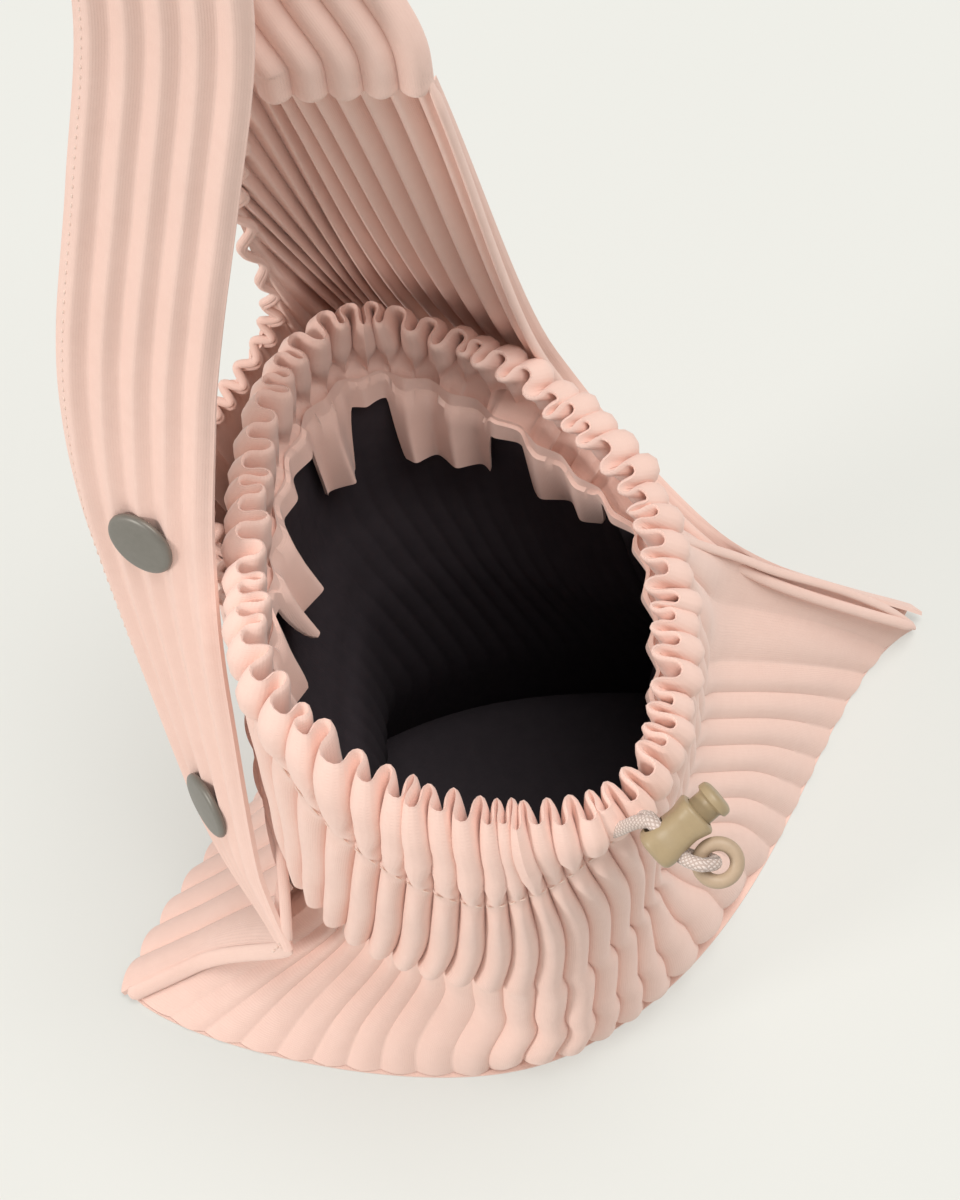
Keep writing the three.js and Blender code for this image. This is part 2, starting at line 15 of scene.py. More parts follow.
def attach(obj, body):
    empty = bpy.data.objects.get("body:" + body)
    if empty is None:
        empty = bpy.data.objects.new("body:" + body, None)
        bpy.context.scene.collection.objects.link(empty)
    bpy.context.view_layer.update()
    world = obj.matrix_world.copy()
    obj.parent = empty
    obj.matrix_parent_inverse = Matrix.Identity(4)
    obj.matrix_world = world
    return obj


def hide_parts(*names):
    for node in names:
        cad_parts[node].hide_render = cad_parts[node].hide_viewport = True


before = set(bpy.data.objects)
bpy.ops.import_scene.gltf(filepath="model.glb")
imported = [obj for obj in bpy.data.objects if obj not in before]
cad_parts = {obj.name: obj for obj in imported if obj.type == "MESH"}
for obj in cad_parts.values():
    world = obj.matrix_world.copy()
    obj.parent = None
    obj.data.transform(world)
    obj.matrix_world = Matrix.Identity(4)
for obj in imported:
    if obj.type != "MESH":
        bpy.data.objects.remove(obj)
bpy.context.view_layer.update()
MM = 0.001

# Camera at the photograph's angle: place and axes in millimetres
CAMERA_AT = (-255.4, -449.0, 1049.5)
CAMERA_RIGHT = (0.883, -0.469, 0.0)
CAMERA_UP = (0.410, 0.772, 0.485)
CAMERA_BACK = (-0.2276, -0.428, 0.8746)
LENS = 129.0
SENSOR = 36.0
SIGHT_END = 20.0

# Ways across the picture and towards the camera, which the strap's face turns between
ACROSS = np.array([0.883, -0.469, 0.0])
TOWARD = np.array([-0.228, -0.428, 0.875])

# Floor in metres with a little light of its own, light from all round, and lamps: way to them, power, angle
FLOOR_HALF = 6.0
FLOOR_GLOW = (1.0, 1.0, 0.94, 1)
FLOOR_GLOW_POWER = 0.47
ROUND_LIGHT = (1.0, 0.99, 0.97, 1)
ROUND_POWER = 0.38
LAMP_TONE = (1.0, 0.985, 0.96)
LAMPS = {"key": ((0.16, -0.08, 1.0), 2.4, 40), "side": ((-1.0, 0.0, 0.35), 1.5, 15)}

# Light and dark tone of each look
TONES = {
    "cloth": ((0.90, 0.64, 0.555), (0.86, 0.595, 0.51)),
    "lining": ((0.05, 0.039, 0.046), (0.038, 0.03, 0.036)),
    "thread": ((0.88, 0.68, 0.58), (0.78, 0.56, 0.47)),
    "lock": ((0.41, 0.31, 0.18), (0.37, 0.275, 0.16)),
    "ring": ((0.5, 0.37, 0.255), (0.45, 0.33, 0.225)),
    "snap": ((0.215, 0.2, 0.175), (0.18, 0.168, 0.145)),
    # Cord: the dark tone is painted shade for the grooves of the braid
    "cord": ((0.80, 0.68, 0.62), (0.5, 0.39, 0.34)),
    "floor": ((0.305, 0.308, 0.295), (0.3, 0.303, 0.29)),
}

# Woven looks: name, roughness, sheen, specular, scales of the mottle, pitch and depth of the threads
WOVEN = {
    "cloth": ("cloth_blush", 0.85, 0.2, 0.25, (22.0, 260.0), 0.55, 0.09),
    "lining": ("lining_black", 0.8, 0.0, 0.3, (30.0, 240.0), 0.4, 0.05),
}

# Moulded looks: name, roughness, metal, specular, scales of the mottle, scale and depth of the grain
MOULDED = {
    "lock": ("lock_khaki", 0.42, 0.0, 0.5, (60.0, 700.0), 1800.0, 0.03),
    "ring": ("ring_tan", 0.5, 0.0, 0.45, (60.0, 700.0), 1800.0, 0.03),
    "snap": ("snap_taupe", 0.42, 0.25, 0.5, (40.0, 600.0), 2400.0, 0.02),
}

# Size of the last loop of a rounded tube end, and a way that no turned part points in
TUBE_END = 0.55
LATHE_SIDE = (0.3, 0.5, 0.8)

# Angle in degrees from which an edge is sharp, on cloth and on hard parts
SOFT_EDGE = 55
HARD_EDGE = 40

# Pleats of the pouch wall and the strap, vertex columns for each, thickness of the cloth
PLEATS = 56
STRAP_RIBS = 5
PER_PLEAT = 16
LINING_PER_PLEAT = 8
PANEL_PER_PLEAT = 20
STRAP_PER_RIB = 14
CLOTH = 1.1

# Depth of the wall's pleats at the floor and higher up, and the share that is lost where they lie flat
PLEAT_FLOOR = 2.5
PLEAT_DEEP = 3.0
FLAT_SHARE = 0.55

# Cross sections of the pouch from the floor (t 0) to the rim (t 1)
SECTION_COLUMNS = ("t", "z", "left", "right", "crown", "mid_left", "mid_right", "front", "back",
                   "flare_left", "flare_right", "tilt", "twist")
SECTIONS = (
    (0, 1.5, -119, 119, -24, 0, 0, 66, 41, 1.7, 3.6, 0, 0),
    (0.08, 14, -98, 112, -24, -5, 1, 67, 42, 1.9, 3.9, 0.02, -0.018),
    (0.2, 39, -73, 95, -24, -12, 2, 63, 45, 2.2, 4, 0.14, -0.032),
    (0.34, 69, -75, 71, -26, -13, 3, 62, 49, 1.9, 3.8, 0.32, -0.028),
    (0.41, 79, -78, 64, -27, -12, 3, 62, 51, 0.95, 3.5, 0.32, -0.01),
    (0.65, 110, -80, 44, -27, -9, 0, 65, 57, 0.9, 2, 0.15, 0.013),
    (0.8, 134, -80, 31, -25, -7, -6, 65, 62, 1, 1.7, 0.18, 0.025),
    (0.88, 148, -79, 25, -23, -5, -9, 63, 66, 1, 1.6, 0.2, 0.032),
    (1, 165, -79, 21, -22, -3, -11, 63, 70, 1, 1.6, 0.21, 0.032),
)
FLARE_BACK = 2.0

# Stretches round the pouch: where each starts, is full, begins to fade and ends
LEFT_RIBS = (0.0, 0.08, 0.13, 0.26)
WING_RIBS = (0.26, 0.37, 0.455, 0.5)
WING_FLAT = (0.29, 0.35, 0.5, 0.6)
LEAN_FAR = (0.5, 0.54, 0.6, 0.7)
LEAN_SIDE = (0.34, 0.42, 0.62, 0.72)
TUCKED = (0.17, 0.21, 0.31, 0.36)
LINING_RIBS = (0.26, 0.34, 0.5, 0.56)

# Stretches up the wall where the pleats are fuller, all round and at the left
FULL_TOP = (0.66, 0.8, 0.83, 0.872)
FULL_LEFT = (0.36, 0.42, 0.48, 0.62)

# How far the gathers lean out at the far right and at the side, and the front ribs curl in at the floor
LEAN_FAR_OUT = 3.6
LEAN_SIDE_OUT = 1.6
TUCK_IN = 3.2

# Sideways swing of the ribs on the right wing, by height
SWING = (
    (0, 0), (0.1, -0.013), (0.2, -0.027), (0.3, -0.034), (0.42, -0.04), (0.65, -0.02), (0.8, 0), (1, 0),
)

# Sideways swing of the front ribs, which hang straight to the floor: at the floor, at its most and the
# height of that, how soon it dies away above, and the part of it that starts at the left
FRONT_SWING_FLOOR = 0.0115
FRONT_SWING_MOST = 0.047
FRONT_SWING_AT = 0.2
FRONT_SWING_FADE = 0.13
FRONT_LEFT_PART = 0.42

# Cord tunnel at the rim: heights of the stitch inside and of the cord
STITCH = 0.88
CORD_LEVEL = 0.93

# Height of the tunnel stitch round the outside of the rim
STITCH_LEVEL = (
    (0, 0.87), (0.05, 0.81), (0.08, 0.785), (0.12, 0.76), (0.16, 0.745), (0.2, 0.785),
    (0.24, 0.83), (0.28, 0.87), (0.34, 0.88), (0.9, 0.88), (1, 0.87),
)

# Cord tunnel from the stitch (h 0) to the top fold (h 1): sway of the band, half its thickness, push out
BAND = (
    (0, 1.2, 1.5, 0), (0.12, 1.9, 1.7, 0.5), (0.35, 3.3, 1.9, 1.3), (0.6, 3.8, 1.75, 1.2),
    (0.8, 3.7, 1.3, 0.2), (0.92, 3.5, 0.8, -0.6), (1, 3.4, 0.22, -1),
)
BAND_STEPS = (0, 0.06, 0.13, 0.21, 0.3, 0.4, 0.5, 0.6, 0.7, 0.79, 0.87, 0.93, 0.97, 1.0)

# Parts of the facing that hang down inside the rim: start and end round the pouch, reach inwards
FLAPS = (
    (0.545, 0.608, 0.0), (0.638, 0.716, 0.0), (0.755, 0.8, 0.5), (0.865, 0.925, 2.5), (0.955, 0.995, 1.0),
)

# Facing: ease of a flap's sides, height of its end, share of its length between the flaps, distance inwards
# at the top and at the end of a flap
FLAP_EASE = 0.004
FLAP_END = 0.745
FACING_SHORT = 0.28
FACING_TOP_IN = -5.4
FLAP_END_IN = -11.5

# Lining: its top, its distance from the wall, its thickness, its floor, and where its ribs show up the wall
LINING_TOP = 0.845
LINING_GAP = 1.0
LINING_THICK = 0.9
LINING_FLOOR = 1.9
LINING_RISE = (0.02, 0.2, 0.72, 0.8)

# Base panel: how it outgrows the wall's foot along, in front and behind, and its rounded edge as shares of
# the outline and heights
BASE_ALONG = 1.006
BASE_FRONT = 1.02
BASE_BACK = 1.2
BASE_EDGE = (
    (0.05, 0.0), (0.5, 0.0), (0.985, 0.0), (1.0, 0.3), (1.0, 0.9), (0.985, 1.2), (0.5, 1.2), (0.05, 1.2),
)

# Top edge of the back panel: u, x, y, z
HEM = (
    (0, -85, -6, 27), (0.08, -80, 3, 37), (0.16, -77, 13, 52), (0.25, -73, 27, 75),
    (0.33, -68, 41, 98), (0.4, -62, 54, 119), (0.47, -65, 63, 133), (0.53, -56, 69, 143),
    (0.59, -44, 72.5, 153), (0.64, -34, 75, 168), (0.69, -37, 72, 190), (0.74, -42, 67, 216),
    (0.79, -45.5, 62, 247), (0.82, -42.5, 56.5, 297), (1, -10.4, 33.6, 296),
)

# Ribs of the back panel: u, then x, y, z a third and two thirds of the way up
RIBS = (
    (0, -107, 1, 10, -95, -3, 19), (0.16, -90, 20, 19, -83, 18, 36),
    (0.33, -66, 43, 35, -69, 45, 68), (0.47, -38, 55, 48, -53, 63, 92),
    (0.58, -12, 58, 52, -34, 72, 106), (0.64, 5, 58, 56, -20, 75, 114),
    (0.75, 26, 45, 62, -14, 77, 142), (0.87, 46, 28, 74, 5, 64, 158),
    (1, 54, 13, 90, 21, 37, 158),
)
RIB_LOW = 0.34
RIB_HIGH = 0.67

# Foot of the back panel: distance from the wall in the middle and all along, back at the tips, height
FOOT_OUT = 6.2
FOOT_GAP = 1.4
FOOT_TIPS = 3.6
FOOT_UP = 1.5

# Back panel: where its side seam on the pouch ends, the heights of that seam, its left end on the wall and
# its distance from the wall there, the knee, how far it closes on the wing at each height, its pleats counted
# from the left, the depth of the ribs outside and on the fan, and the stretch where they lie flat
SIDE_SEAM = 0.24
SEAM_LOW = 0.2
SEAM_HIGH = 0.82
PANEL_END = 0.9985
PANEL_OFF = 4.2
KNEE = np.array([-86.0, -27.0, 56.0])
WING_GAP = ((0, 3.6), (0.1, 6.0), (0.34, 8.5), (0.5, 5.0), (0.67, 0), (1, 0))
PANEL_PHASE = ((0, 0), (0.6, 15), (0.72, 18.5), (0.78, 20.8), (0.82, 25.5), (1.0, 33))
PANEL_RIB = 1.9
FAN_RIB = 4.2
PANEL_CALM = (0.56, 0.64, 0.74, 0.775)

# Elastic hem of the pocket: its stretch on the panel, start and end of its cords, pitch and height of its
# waves, lift off the panel, and the distance of each cord from the edge
ELASTIC = (SIDE_SEAM - 0.02, SIDE_SEAM + 0.05, 0.77, 0.79)
ELASTIC_FROM = SIDE_SEAM + 0.06
ELASTIC_TO = 0.805
RUFFLE = 5.6
RUFFLE_HIGH = 1.8
HEM_LIFT = 1.2
HEM_CORDS = {"hem_elastic_edge": 0.0, "hem_elastic_fold": 1.8}

# Upper end of the band along the edge of the fan
FAN_CORNER = (-11.5, 36.0, 301.0)

# Strap from the knee over the top to the fan: w, x, y, z, turn of the face in degrees
STRAP_PATH = (
    (0, -86.5, -16.5, 45, 78), (0.045, -87.5, -1, 62, 75), (0.08, -87.5, 8.5, 79, 71),
    (0.145, -87.5, 23, 120, 61), (0.215, -86.5, 36, 163, 45), (0.29, -82, 45, 210, 24),
    (0.33, -78, 48, 235, 18), (0.4, -70.6, 50, 279, 18), (0.5, -63.7, 49.5, 345, 20),
    (0.58, -64, 54, 400, 16), (0.62, -63, 63, 423, 10), (0.65, -57, 72, 431, 6),
    (0.69, -50, 76, 418, 4), (0.76, -43, 70, 378, 2), (0.86, -34, 55, 330, 0),
    (0.96, -26.4, 44.9, 306, 0), (1, -26, 44.4, 299.2, 0),
)
STRAP_WIDE = 38.0
STRAP_THICK = 2.2
STRAP_RIB = 1.2
STRAP_LENGTH = 720

# Rounded end of the strap on the fan: w, how far beyond the path, how much thinner
STRAP_END = ((1.003, 1.8, 0.0), (1.005, 3.2, 0.25), (1.006, 3.8, 0.85))

# Snap caps: places along the strap, radius, and the turned outline as drawn in and height
SNAPS = {"snap_cap_upper": 0.219, "snap_cap_lower": 0.076}
SNAP_R = 9.0
SNAP_OUTLINE = (
    (0.9, 0.0), (0.3, 0.15), (0.0, 0.6), (0.0, 1.1), (0.25, 1.6), (0.9, 2.0), (1.6, 2.12), (2.4, 2.18),
    (5.0, 2.4), (8.0, 2.5),
)

# One dash of thread: share of its length, size, lift out of the cloth in radii
THREAD = ((0, 0.35, -0.3), (0.12, 0.9, 0.2), (0.5, 1.0, 0.45), (0.88, 0.9, 0.2), (1, 0.35, -0.3))

# Drawcord: radius, share of it inside the tunnel, steps of the curve, where its two ends leave the tunnel
CORD_R = 1.7
CORD_SQUEEZE = 0.45
CORD_STEPS = 3
EXIT_S = 0.284
EXIT_HALF = 0.009

# Cord lock: place, ways of the cord and the button, size, channel for the two strands
LOCK_AT = np.array([-11.0, -85.3, 152.6])
LOCK_CORD_DIR = np.array([0.298, -0.846, -0.451])
LOCK_BUTTON_DIR = np.array([0.910, 0.115, 0.408])
LOCK_ALONG = 10.6
LOCK_ACROSS = 14.6
CHANNEL_AT = -2.6
CHANNEL_HIGH = 4.9
CHANNEL_WIDE = 9.0
STRAND_GAP = 4.4
CHANNEL_CUT = 9.0

# Push button: bottom and reach of its bore, shaft, head, how far it stands out, travel gap, play
BORE_FLOOR = CHANNEL_AT + CHANNEL_HIGH / 2 + 1
BORE_CUT = 20.0
BUTTON_R = 3.7
BUTTON_HEAD_R = 4.7
BUTTON_OUT = 5.2
BUTTON_GAP = 3.6
BUTTON_PLAY = 0.3

# End ring: radii, bend and distance from the lock, and the turn of the cord round it
RING_R = 4.5
RING_TUBE = 1.75
RING_BEND = math.radians(45)
RING_OUT = 1.2
TURN_R = RING_TUBE + CORD_R + 0.35
TURN_OUT = 3.2

# Lock body from end to end: place along the button's axis, half length, half depth
LOCK_BODY = (
    (-7.3, 3.4, 4.2), (-7.0, 4.4, 5.2), (-6.0, 5.1, 6.0), (-3.8, 5.3, 6.2), (-0.5, 4.7, 5.6),
    (2.5, 4.5, 5.4), (5.0, 5.0, 5.9), (6.4, 5.3, 6.2), (7.0, 5.0, 5.9), (7.3, 4.3, 5.2),
)


def unit(v):
    v = np.asarray(v, float)
    return v / np.maximum(np.linalg.norm(v, axis=-1, keepdims=True), 1e-9)


def smooth(start, end, x):
    """Eased step from 0 at start to 1 at end; start may be the larger of the two."""
    f = np.clip((np.asarray(x, float) - start) / (end - start), 0, 1)
    return f * f * (3 - 2 * f)


def window(stretch, x):
    """1 inside a stretch and 0 outside, eased at both ends."""
    start, full, fading, end = stretch
    return smooth(start, full, x) * smooth(end, fading, x)


def mix(a, b, f):
    return a + (b - a) * f


def sample(rows, at):
    """Smooth curve through the rows of a table; the first column is the parameter."""
    r = np.asarray(rows, float)
    t = np.clip(np.asarray(at, float), r[0, 0], r[-1, 0])
    i = np.clip(np.searchsorted(r[:, 0], t) - 1, 0, len(r) - 2)
    h = np.diff(r[:, 0])
    slope = np.diff(r, axis=0) / h[:, None]
    knot = np.vstack([slope[:1], np.zeros_like(slope[1:]), slope[-1:]])
    a, b = slope[:-1], slope[1:]
    same = a * b > 0
    knot[1:-1] = np.where(same, 2 * a * b / np.where(same, a + b, 1), 0)
    f = ((t - r[i, 0]) / h[i])[..., None]
    step = h[i][..., None]
    return ((2 * f**3 - 3 * f**2 + 1) * r[i] + (f**3 - 2 * f**2 + f) * step * knot[i]
            + (3 * f**2 - 2 * f**3) * r[i + 1] + (f**3 - f**2) * step * knot[i + 1])


def front_swing(t):
    """Sideways swing of the front ribs at height t."""
    rise = math.sin(math.pi / 2 * min(t / FRONT_SWING_AT, 1))
    above = max(t - FRONT_SWING_AT, 0) / FRONT_SWING_FADE
    return -mix(FRONT_SWING_FLOOR, FRONT_SWING_MOST, rise) / (1 + above**2) * smooth(0.6, 0.4, t)


def front_share(s):
    """Share of the front swing round the pouch: up in two steps from the left, then down to the wing."""
    first = np.sin(np.pi / 2 * np.clip((s - 0.08) / 0.085, 0, 1))
    fall = np.clip((0.35 - s) / 0.08, 0, 1)
    return mix(smooth(0.15, 0.26, s), first, FRONT_LEFT_PART) * (fall + (1 - fall) * fall**2.5)


def lengths(points):
    """Length of a path from its start to each of its points."""
    return np.r_[0, np.cumsum(np.linalg.norm(np.diff(points, axis=0), axis=1))]


def circle(count):
    """Even angles once round."""
    return 2 * np.pi * np.arange(count) / count


class Ring:
    """Section of the pouch at height t, drawn in by inset, evenly spaced along its length."""

    def __init__(self, t, inset=0.0, tip=None):
        row = dict(zip(SECTION_COLUMNS, sample(SECTIONS, t)))
        tip = inset if tip is None else tip
        left, right = row["left"] + tip, row["right"] - tip
        self.twist = row["twist"]
        self.swing = sample(SWING, t)[1]
        self.front_swing = front_swing(t)
        self.halves = []
        for half in (0, 1):
            angle = np.pi * (1 + half + np.linspace(0, 1, 241))
            c, s = np.cos(angle), np.sin(angle)
            x = row["crown"] + np.where(c < 0, row["crown"] - left, right - row["crown"]) * c
            mid = mix(row["mid_left"], row["mid_right"], np.clip((x - left) / (right - left), 0, 1))
            near = row["flare_left"] if half == 0 else FLARE_BACK
            flare = mix(near, row["flare_right"], (c + 1) / 2)
            depth = inset - row["front"] if half == 0 else row["back"] - inset
            reach = depth * np.abs(s) ** flare
            p = np.stack([x, mid + reach, row["z"] + row["tilt"] * reach], axis=1)
            length = lengths(p)
            self.halves.append((p, length / length[-1]))

    def at(self, s):
        plain = np.mod(np.asarray(s, float), 1)
        turn = plain + self.twist * window(LEFT_RIBS, plain) + self.swing * window(WING_RIBS, plain)
        turn += self.front_swing * front_share(plain)
        out = np.empty(turn.shape + (3,))
        for half, (p, length) in enumerate(self.halves):
            mine = (turn >= 0.5) == bool(half)
            want = (turn[mine] - 0.5 * half) * 2
            out[mine] = np.stack([np.interp(want, length, p[:, k]) for k in range(3)], axis=-1)
        return out

    def normal(self, s):
        d = self.at(np.asarray(s) + 0.004) - self.at(np.asarray(s) - 0.004)
        return unit(np.stack([d[..., 1], -d[..., 0], np.zeros(d.shape[:-1])], axis=-1))

    def off(self, s, offset, drop=0.0):
        p = self.at(s) + self.normal(s) * np.asarray(offset)[..., None]
        p[..., 2] -= drop
        return p


class Wall:
    """The whole pouch wall as a fine table, so that height may differ from place to place."""

    def __init__(self, levels=121, columns=1344):
        s = np.arange(columns) / columns
        rings = [Ring(t) for t in np.linspace(0, 1, levels)]
        self.points = np.array([ring.at(s) for ring in rings])
        self.normals = np.array([ring.normal(s) for ring in rings])

    def off(self, s, t, offset=0.0, drop=0.0):
        """Points at place s and height t, offset outwards and dropped; arrays or numbers."""
        s, t, offset, drop = np.broadcast_arrays(s, t, offset, drop)
        levels, columns = self.points.shape[:2]
        i = np.clip(t, 0, 1) * (levels - 1)
        j = np.mod(s, 1) * columns
        i0 = np.minimum(i.astype(int), levels - 2)
        j0 = np.floor(j).astype(int) % columns
        j1 = (j0 + 1) % columns
        a, b = (i - i0)[..., None], (j - np.floor(j))[..., None]
        p, n = (mix(mix(g[i0, j0], g[i0, j1], b), mix(g[i0 + 1, j0], g[i0 + 1, j1], b), a)
                for g in (self.points, self.normals))
        p = p + n * offset[..., None]
        p[..., 2] -= drop
        return p


def grid_quads(rows, columns, close_rows=False):
    """Faces of a grid that is closed along its columns, and along its rows if asked."""
    i, j = np.meshgrid(np.arange(rows if close_rows else rows - 1), np.arange(columns), indexing="ij")
    i, j = i.ravel(), j.ravel()
    i2, j2 = (i + 1) % rows, (j + 1) % columns
    return np.stack([i * columns + j, i * columns + j2, i2 * columns + j2, i2 * columns + j], axis=1)


def outward(points, faces):
    """Faces turned so that the closed mesh faces outwards."""
    p = points[faces]
    volume = 0.0
    for k in range(1, faces.shape[1] - 1):
        volume += np.einsum("ij,ij->", p[:, 0], np.cross(p[:, k], p[:, k + 1]))
    return faces if volume > 0 else faces[:, ::-1]


def add_object(name, data):
    obj = bpy.data.objects.new(name, data)
    bpy.context.collection.objects.link(obj)
    return obj


def new_object(name, points, faces, uv, look, body="bag", sharp=SOFT_EDGE):
    """Mesh object in metres from millimetre points, with a millimetre UV for the weave."""
    mesh = bpy.data.meshes.new(name)
    mesh.from_pydata((points * MM).tolist(), [], [list(f) for f in faces])
    layer = mesh.uv_layers.new(name="weave")
    loops = np.empty(len(mesh.loops), np.int32)
    mesh.loops.foreach_get("vertex_index", loops)
    layer.data.foreach_set("uv", np.asarray(uv, np.float32)[loops].ravel())
    mesh.polygons.foreach_set("use_smooth", np.ones(len(mesh.polygons), bool))
    mesh.set_sharp_from_angle(angle=math.radians(sharp))
    mesh.materials.append(look)
    obj = add_object(name, mesh)
    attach(obj, body)
    return obj


def ring_object(name, grid, uv, look):
    """Closed both ways, like a tyre."""
    rows, columns = grid.shape[:2]
    points = grid.reshape(-1, 3)
    faces = outward(points, grid_quads(rows, columns, True))
    return new_object(name, points, faces, uv.reshape(-1, 2), look)


def sheet_object(name, front, back, uv, look):
    """Two equal grids joined along their four edges."""
    grid = np.concatenate([front, back[:, ::-1]], axis=1)
    both = np.concatenate([uv, uv[:, ::-1]], axis=1)
    rows, columns = grid.shape[:2]
    wide = front.shape[1]
    faces = grid_quads(rows, columns)
    j = np.arange(wide - 1)
    ends = []
    for i, turn in ((0, 1), (rows - 1, -1)):
        quad = np.stack([j, columns - 1 - j, columns - 2 - j, j + 1], axis=1) + i * columns
        ends.append(quad[:, ::turn])
    points = grid.reshape(-1, 3)
    faces = outward(points, np.vstack([faces] + ends))
    return new_object(name, points, faces, both.reshape(-1, 2), look)


def capped_object(name, grid, caps, look, body="bag", uv=None, sharp=SOFT_EDGE):
    """Loops of a grid joined into a tube, with a fan of faces to a middle point at each end."""
    rows, sides = grid.shape[:2]
    points = np.vstack([grid.reshape(-1, 3), caps])
    faces = [tuple(f) for f in grid_quads(rows, sides)]
    last = (rows - 1) * sides
    for j in range(sides):
        k = (j + 1) % sides
        faces.append((rows * sides, k, j))
        faces.append((rows * sides + 1, last + j, last + k))
    return new_object(name, points, faces, points[:, :2] if uv is None else uv, look, body, sharp)


def tube_object(name, path, wide, high, sides, side_hint, look):
    """Oval tube along a path with rounded ends; side_hint is the direction of its width."""
    path = np.asarray(path, float)
    scale = np.ones(len(path))
    scale[0] = scale[-1] = TUBE_END
    along = unit(np.gradient(path, axis=0))
    side = unit(side_hint - along * np.sum(along * side_hint, axis=1, keepdims=True))
    other = np.cross(along, side)
    a = circle(sides)
    grid = (path[:, None] + side[:, None] * (np.cos(a) * (wide * scale)[:, None])[..., None]
            + other[:, None] * (np.sin(a) * (high * scale)[:, None])[..., None])
    length = lengths(path)
    uv = cloth_uv(a * np.max(wide), length).reshape(-1, 2)
    return capped_object(name, grid, path[[0, -1]], look, uv=np.vstack([uv, [[0, 0]], [[0, length[-1]]]]))


def lathe_object(name, profile, sides, origin, axis, look, body="bag"):
    """Turned solid from (radius, height) pairs about an axis through the origin point."""
    axis = unit(axis)
    first = unit(np.cross(axis, LATHE_SIDE))
    second = np.cross(axis, first)
    a = circle(sides)
    ring = np.cos(a)[:, None] * first + np.sin(a)[:, None] * second
    grid = np.array([origin + axis * h + ring * r for r, h in profile])
    caps = [origin + axis * profile[end][1] for end in (0, -1)]
    return capped_object(name, grid, caps, look, body, sharp=HARD_EDGE)


def node(tree, kind, **values):
    """Shader node with its inputs and settings."""
    made = tree.nodes.new(kind)
    for key, value in values.items():
        if key in made.inputs:
            made.inputs[key].default_value = value
        else:
            setattr(made, key, value)
    return made


def new_look(name, roughness, sheen=0.0, metallic=0.0, specular=0.5):
    """New material with its node tree and its shader."""
    look = bpy.data.materials.new(name)
    look.use_nodes = True
    shader = look.node_tree.nodes["Principled BSDF"]
    values = {"Roughness": roughness, "Metallic": metallic, "Specular IOR Level": specular,
              "Sheen Weight": sheen, "Sheen Roughness": 0.5}
    for key, value in values.items():
        shader.inputs[key].default_value = value
    return look, look.node_tree, shader


def combine(tree, operation, first, second):
    made = node(tree, "ShaderNodeMath", operation=operation)
    tree.links.new(first, made.inputs[0])
    tree.links.new(second, made.inputs[1])
    return made.outputs[0]


def noise(tree, place, scale, detail, roughness):
    made = node(tree, "ShaderNodeTexNoise", Scale=scale, Detail=detail, Roughness=roughness)
    tree.links.new(place, made.inputs["Vector"])
    return made.outputs["Fac"]


def tone_ramp(tree, shader, value, tones, low, high):
    """Base colour from the dark tone, at the low value, to the light one, at the high value."""
    ramp = node(tree, "ShaderNodeValToRGB")
    light, dark = tones
    for element, position, tone in zip(ramp.color_ramp.elements, (low, high), (dark, light)):
        element.position = position
        element.color = (*tone, 1)
    tree.links.new(value, ramp.inputs["Fac"])
    tree.links.new(ramp.outputs["Color"], shader.inputs["Base Color"])


def raise_bump(tree, shader, height, strength, depth):
    bump = node(tree, "ShaderNodeBump", Strength=strength, Distance=depth * MM)
    tree.links.new(height, bump.inputs["Height"])
    tree.links.new(bump.outputs["Normal"], shader.inputs["Normal"])


def mottle(tree, shader, tones, scales):
    """Base colour that wanders between two tones, coarse and fine."""
    place = node(tree, "ShaderNodeTexCoord")
    total, *others = (noise(tree, place.outputs["Object"], scale, 4.0, 0.6) for scale in scales)
    for cloud in others:
        half = node(tree, "ShaderNodeMath", operation="MULTIPLY")
        half.inputs[1].default_value = 0.5
        tree.links.new(combine(tree, "ADD", total, cloud), half.inputs[0])
        total = half.outputs[0]
    tone_ramp(tree, shader, total, tones, 0.3, 0.7)


def weave(tree, shader, pitch, depth):
    """Bump of crossing threads from the millimetre UV, with uneven yarn."""
    place = node(tree, "ShaderNodeTexCoord")
    waves = []
    for way in ("X", "Y"):
        wave = node(tree, "ShaderNodeTexWave", Scale=2 * math.pi / (20 * pitch), Distortion=0.6, Detail=1.0)
        wave.bands_direction = way
        tree.links.new(place.outputs["UV"], wave.inputs["Vector"])
        waves.append(wave.outputs["Fac"])
    threads = combine(tree, "MAXIMUM", *waves)
    yarn = noise(tree, place.outputs["UV"], 0.8, 3.0, 0.65)
    raise_bump(tree, shader, combine(tree, "ADD", threads, yarn), 0.5, depth)


def grain(tree, shader, scale, depth):
    """Fine moulded grain."""
    place = node(tree, "ShaderNodeTexCoord")
    raise_bump(tree, shader, noise(tree, place.outputs["Object"], scale, 3.0, 0.6), 0.4, depth)


def thread_look():
    look, tree, shader = new_look("thread", 0.7, sheen=0.3, specular=0.4)
    mottle(tree, shader, TONES["thread"], (900.0,))
    return look


def cord_look():
    """Braided cord: two crossing sets of diagonal strands, with painted shade in the grooves between them."""
    look, tree, shader = new_look("cord_braid", 0.75, sheen=0.25, specular=0.3)
    place = node(tree, "ShaderNodeTexCoord")
    strands = []
    for slope in (0.8, -0.8):
        turn = node(tree, "ShaderNodeMapping")
        turn.inputs["Rotation"].default_value = (0, 0, slope)
        tree.links.new(place.outputs["UV"], turn.inputs["Vector"])
        wave = node(tree, "ShaderNodeTexWave", Scale=0.34, Distortion=0.3)
        tree.links.new(turn.outputs["Vector"], wave.inputs["Vector"])
        strands.append(wave.outputs["Fac"])
    braid = combine(tree, "MULTIPLY", *strands)
    # Painted shade: the dark tone falls where the braid's bump is lowest, in the grooves between strands
    tone_ramp(tree, shader, braid, TONES["cord"], 0.05, 0.4)
    raise_bump(tree, shader, braid, 0.8, 0.25)
    return look


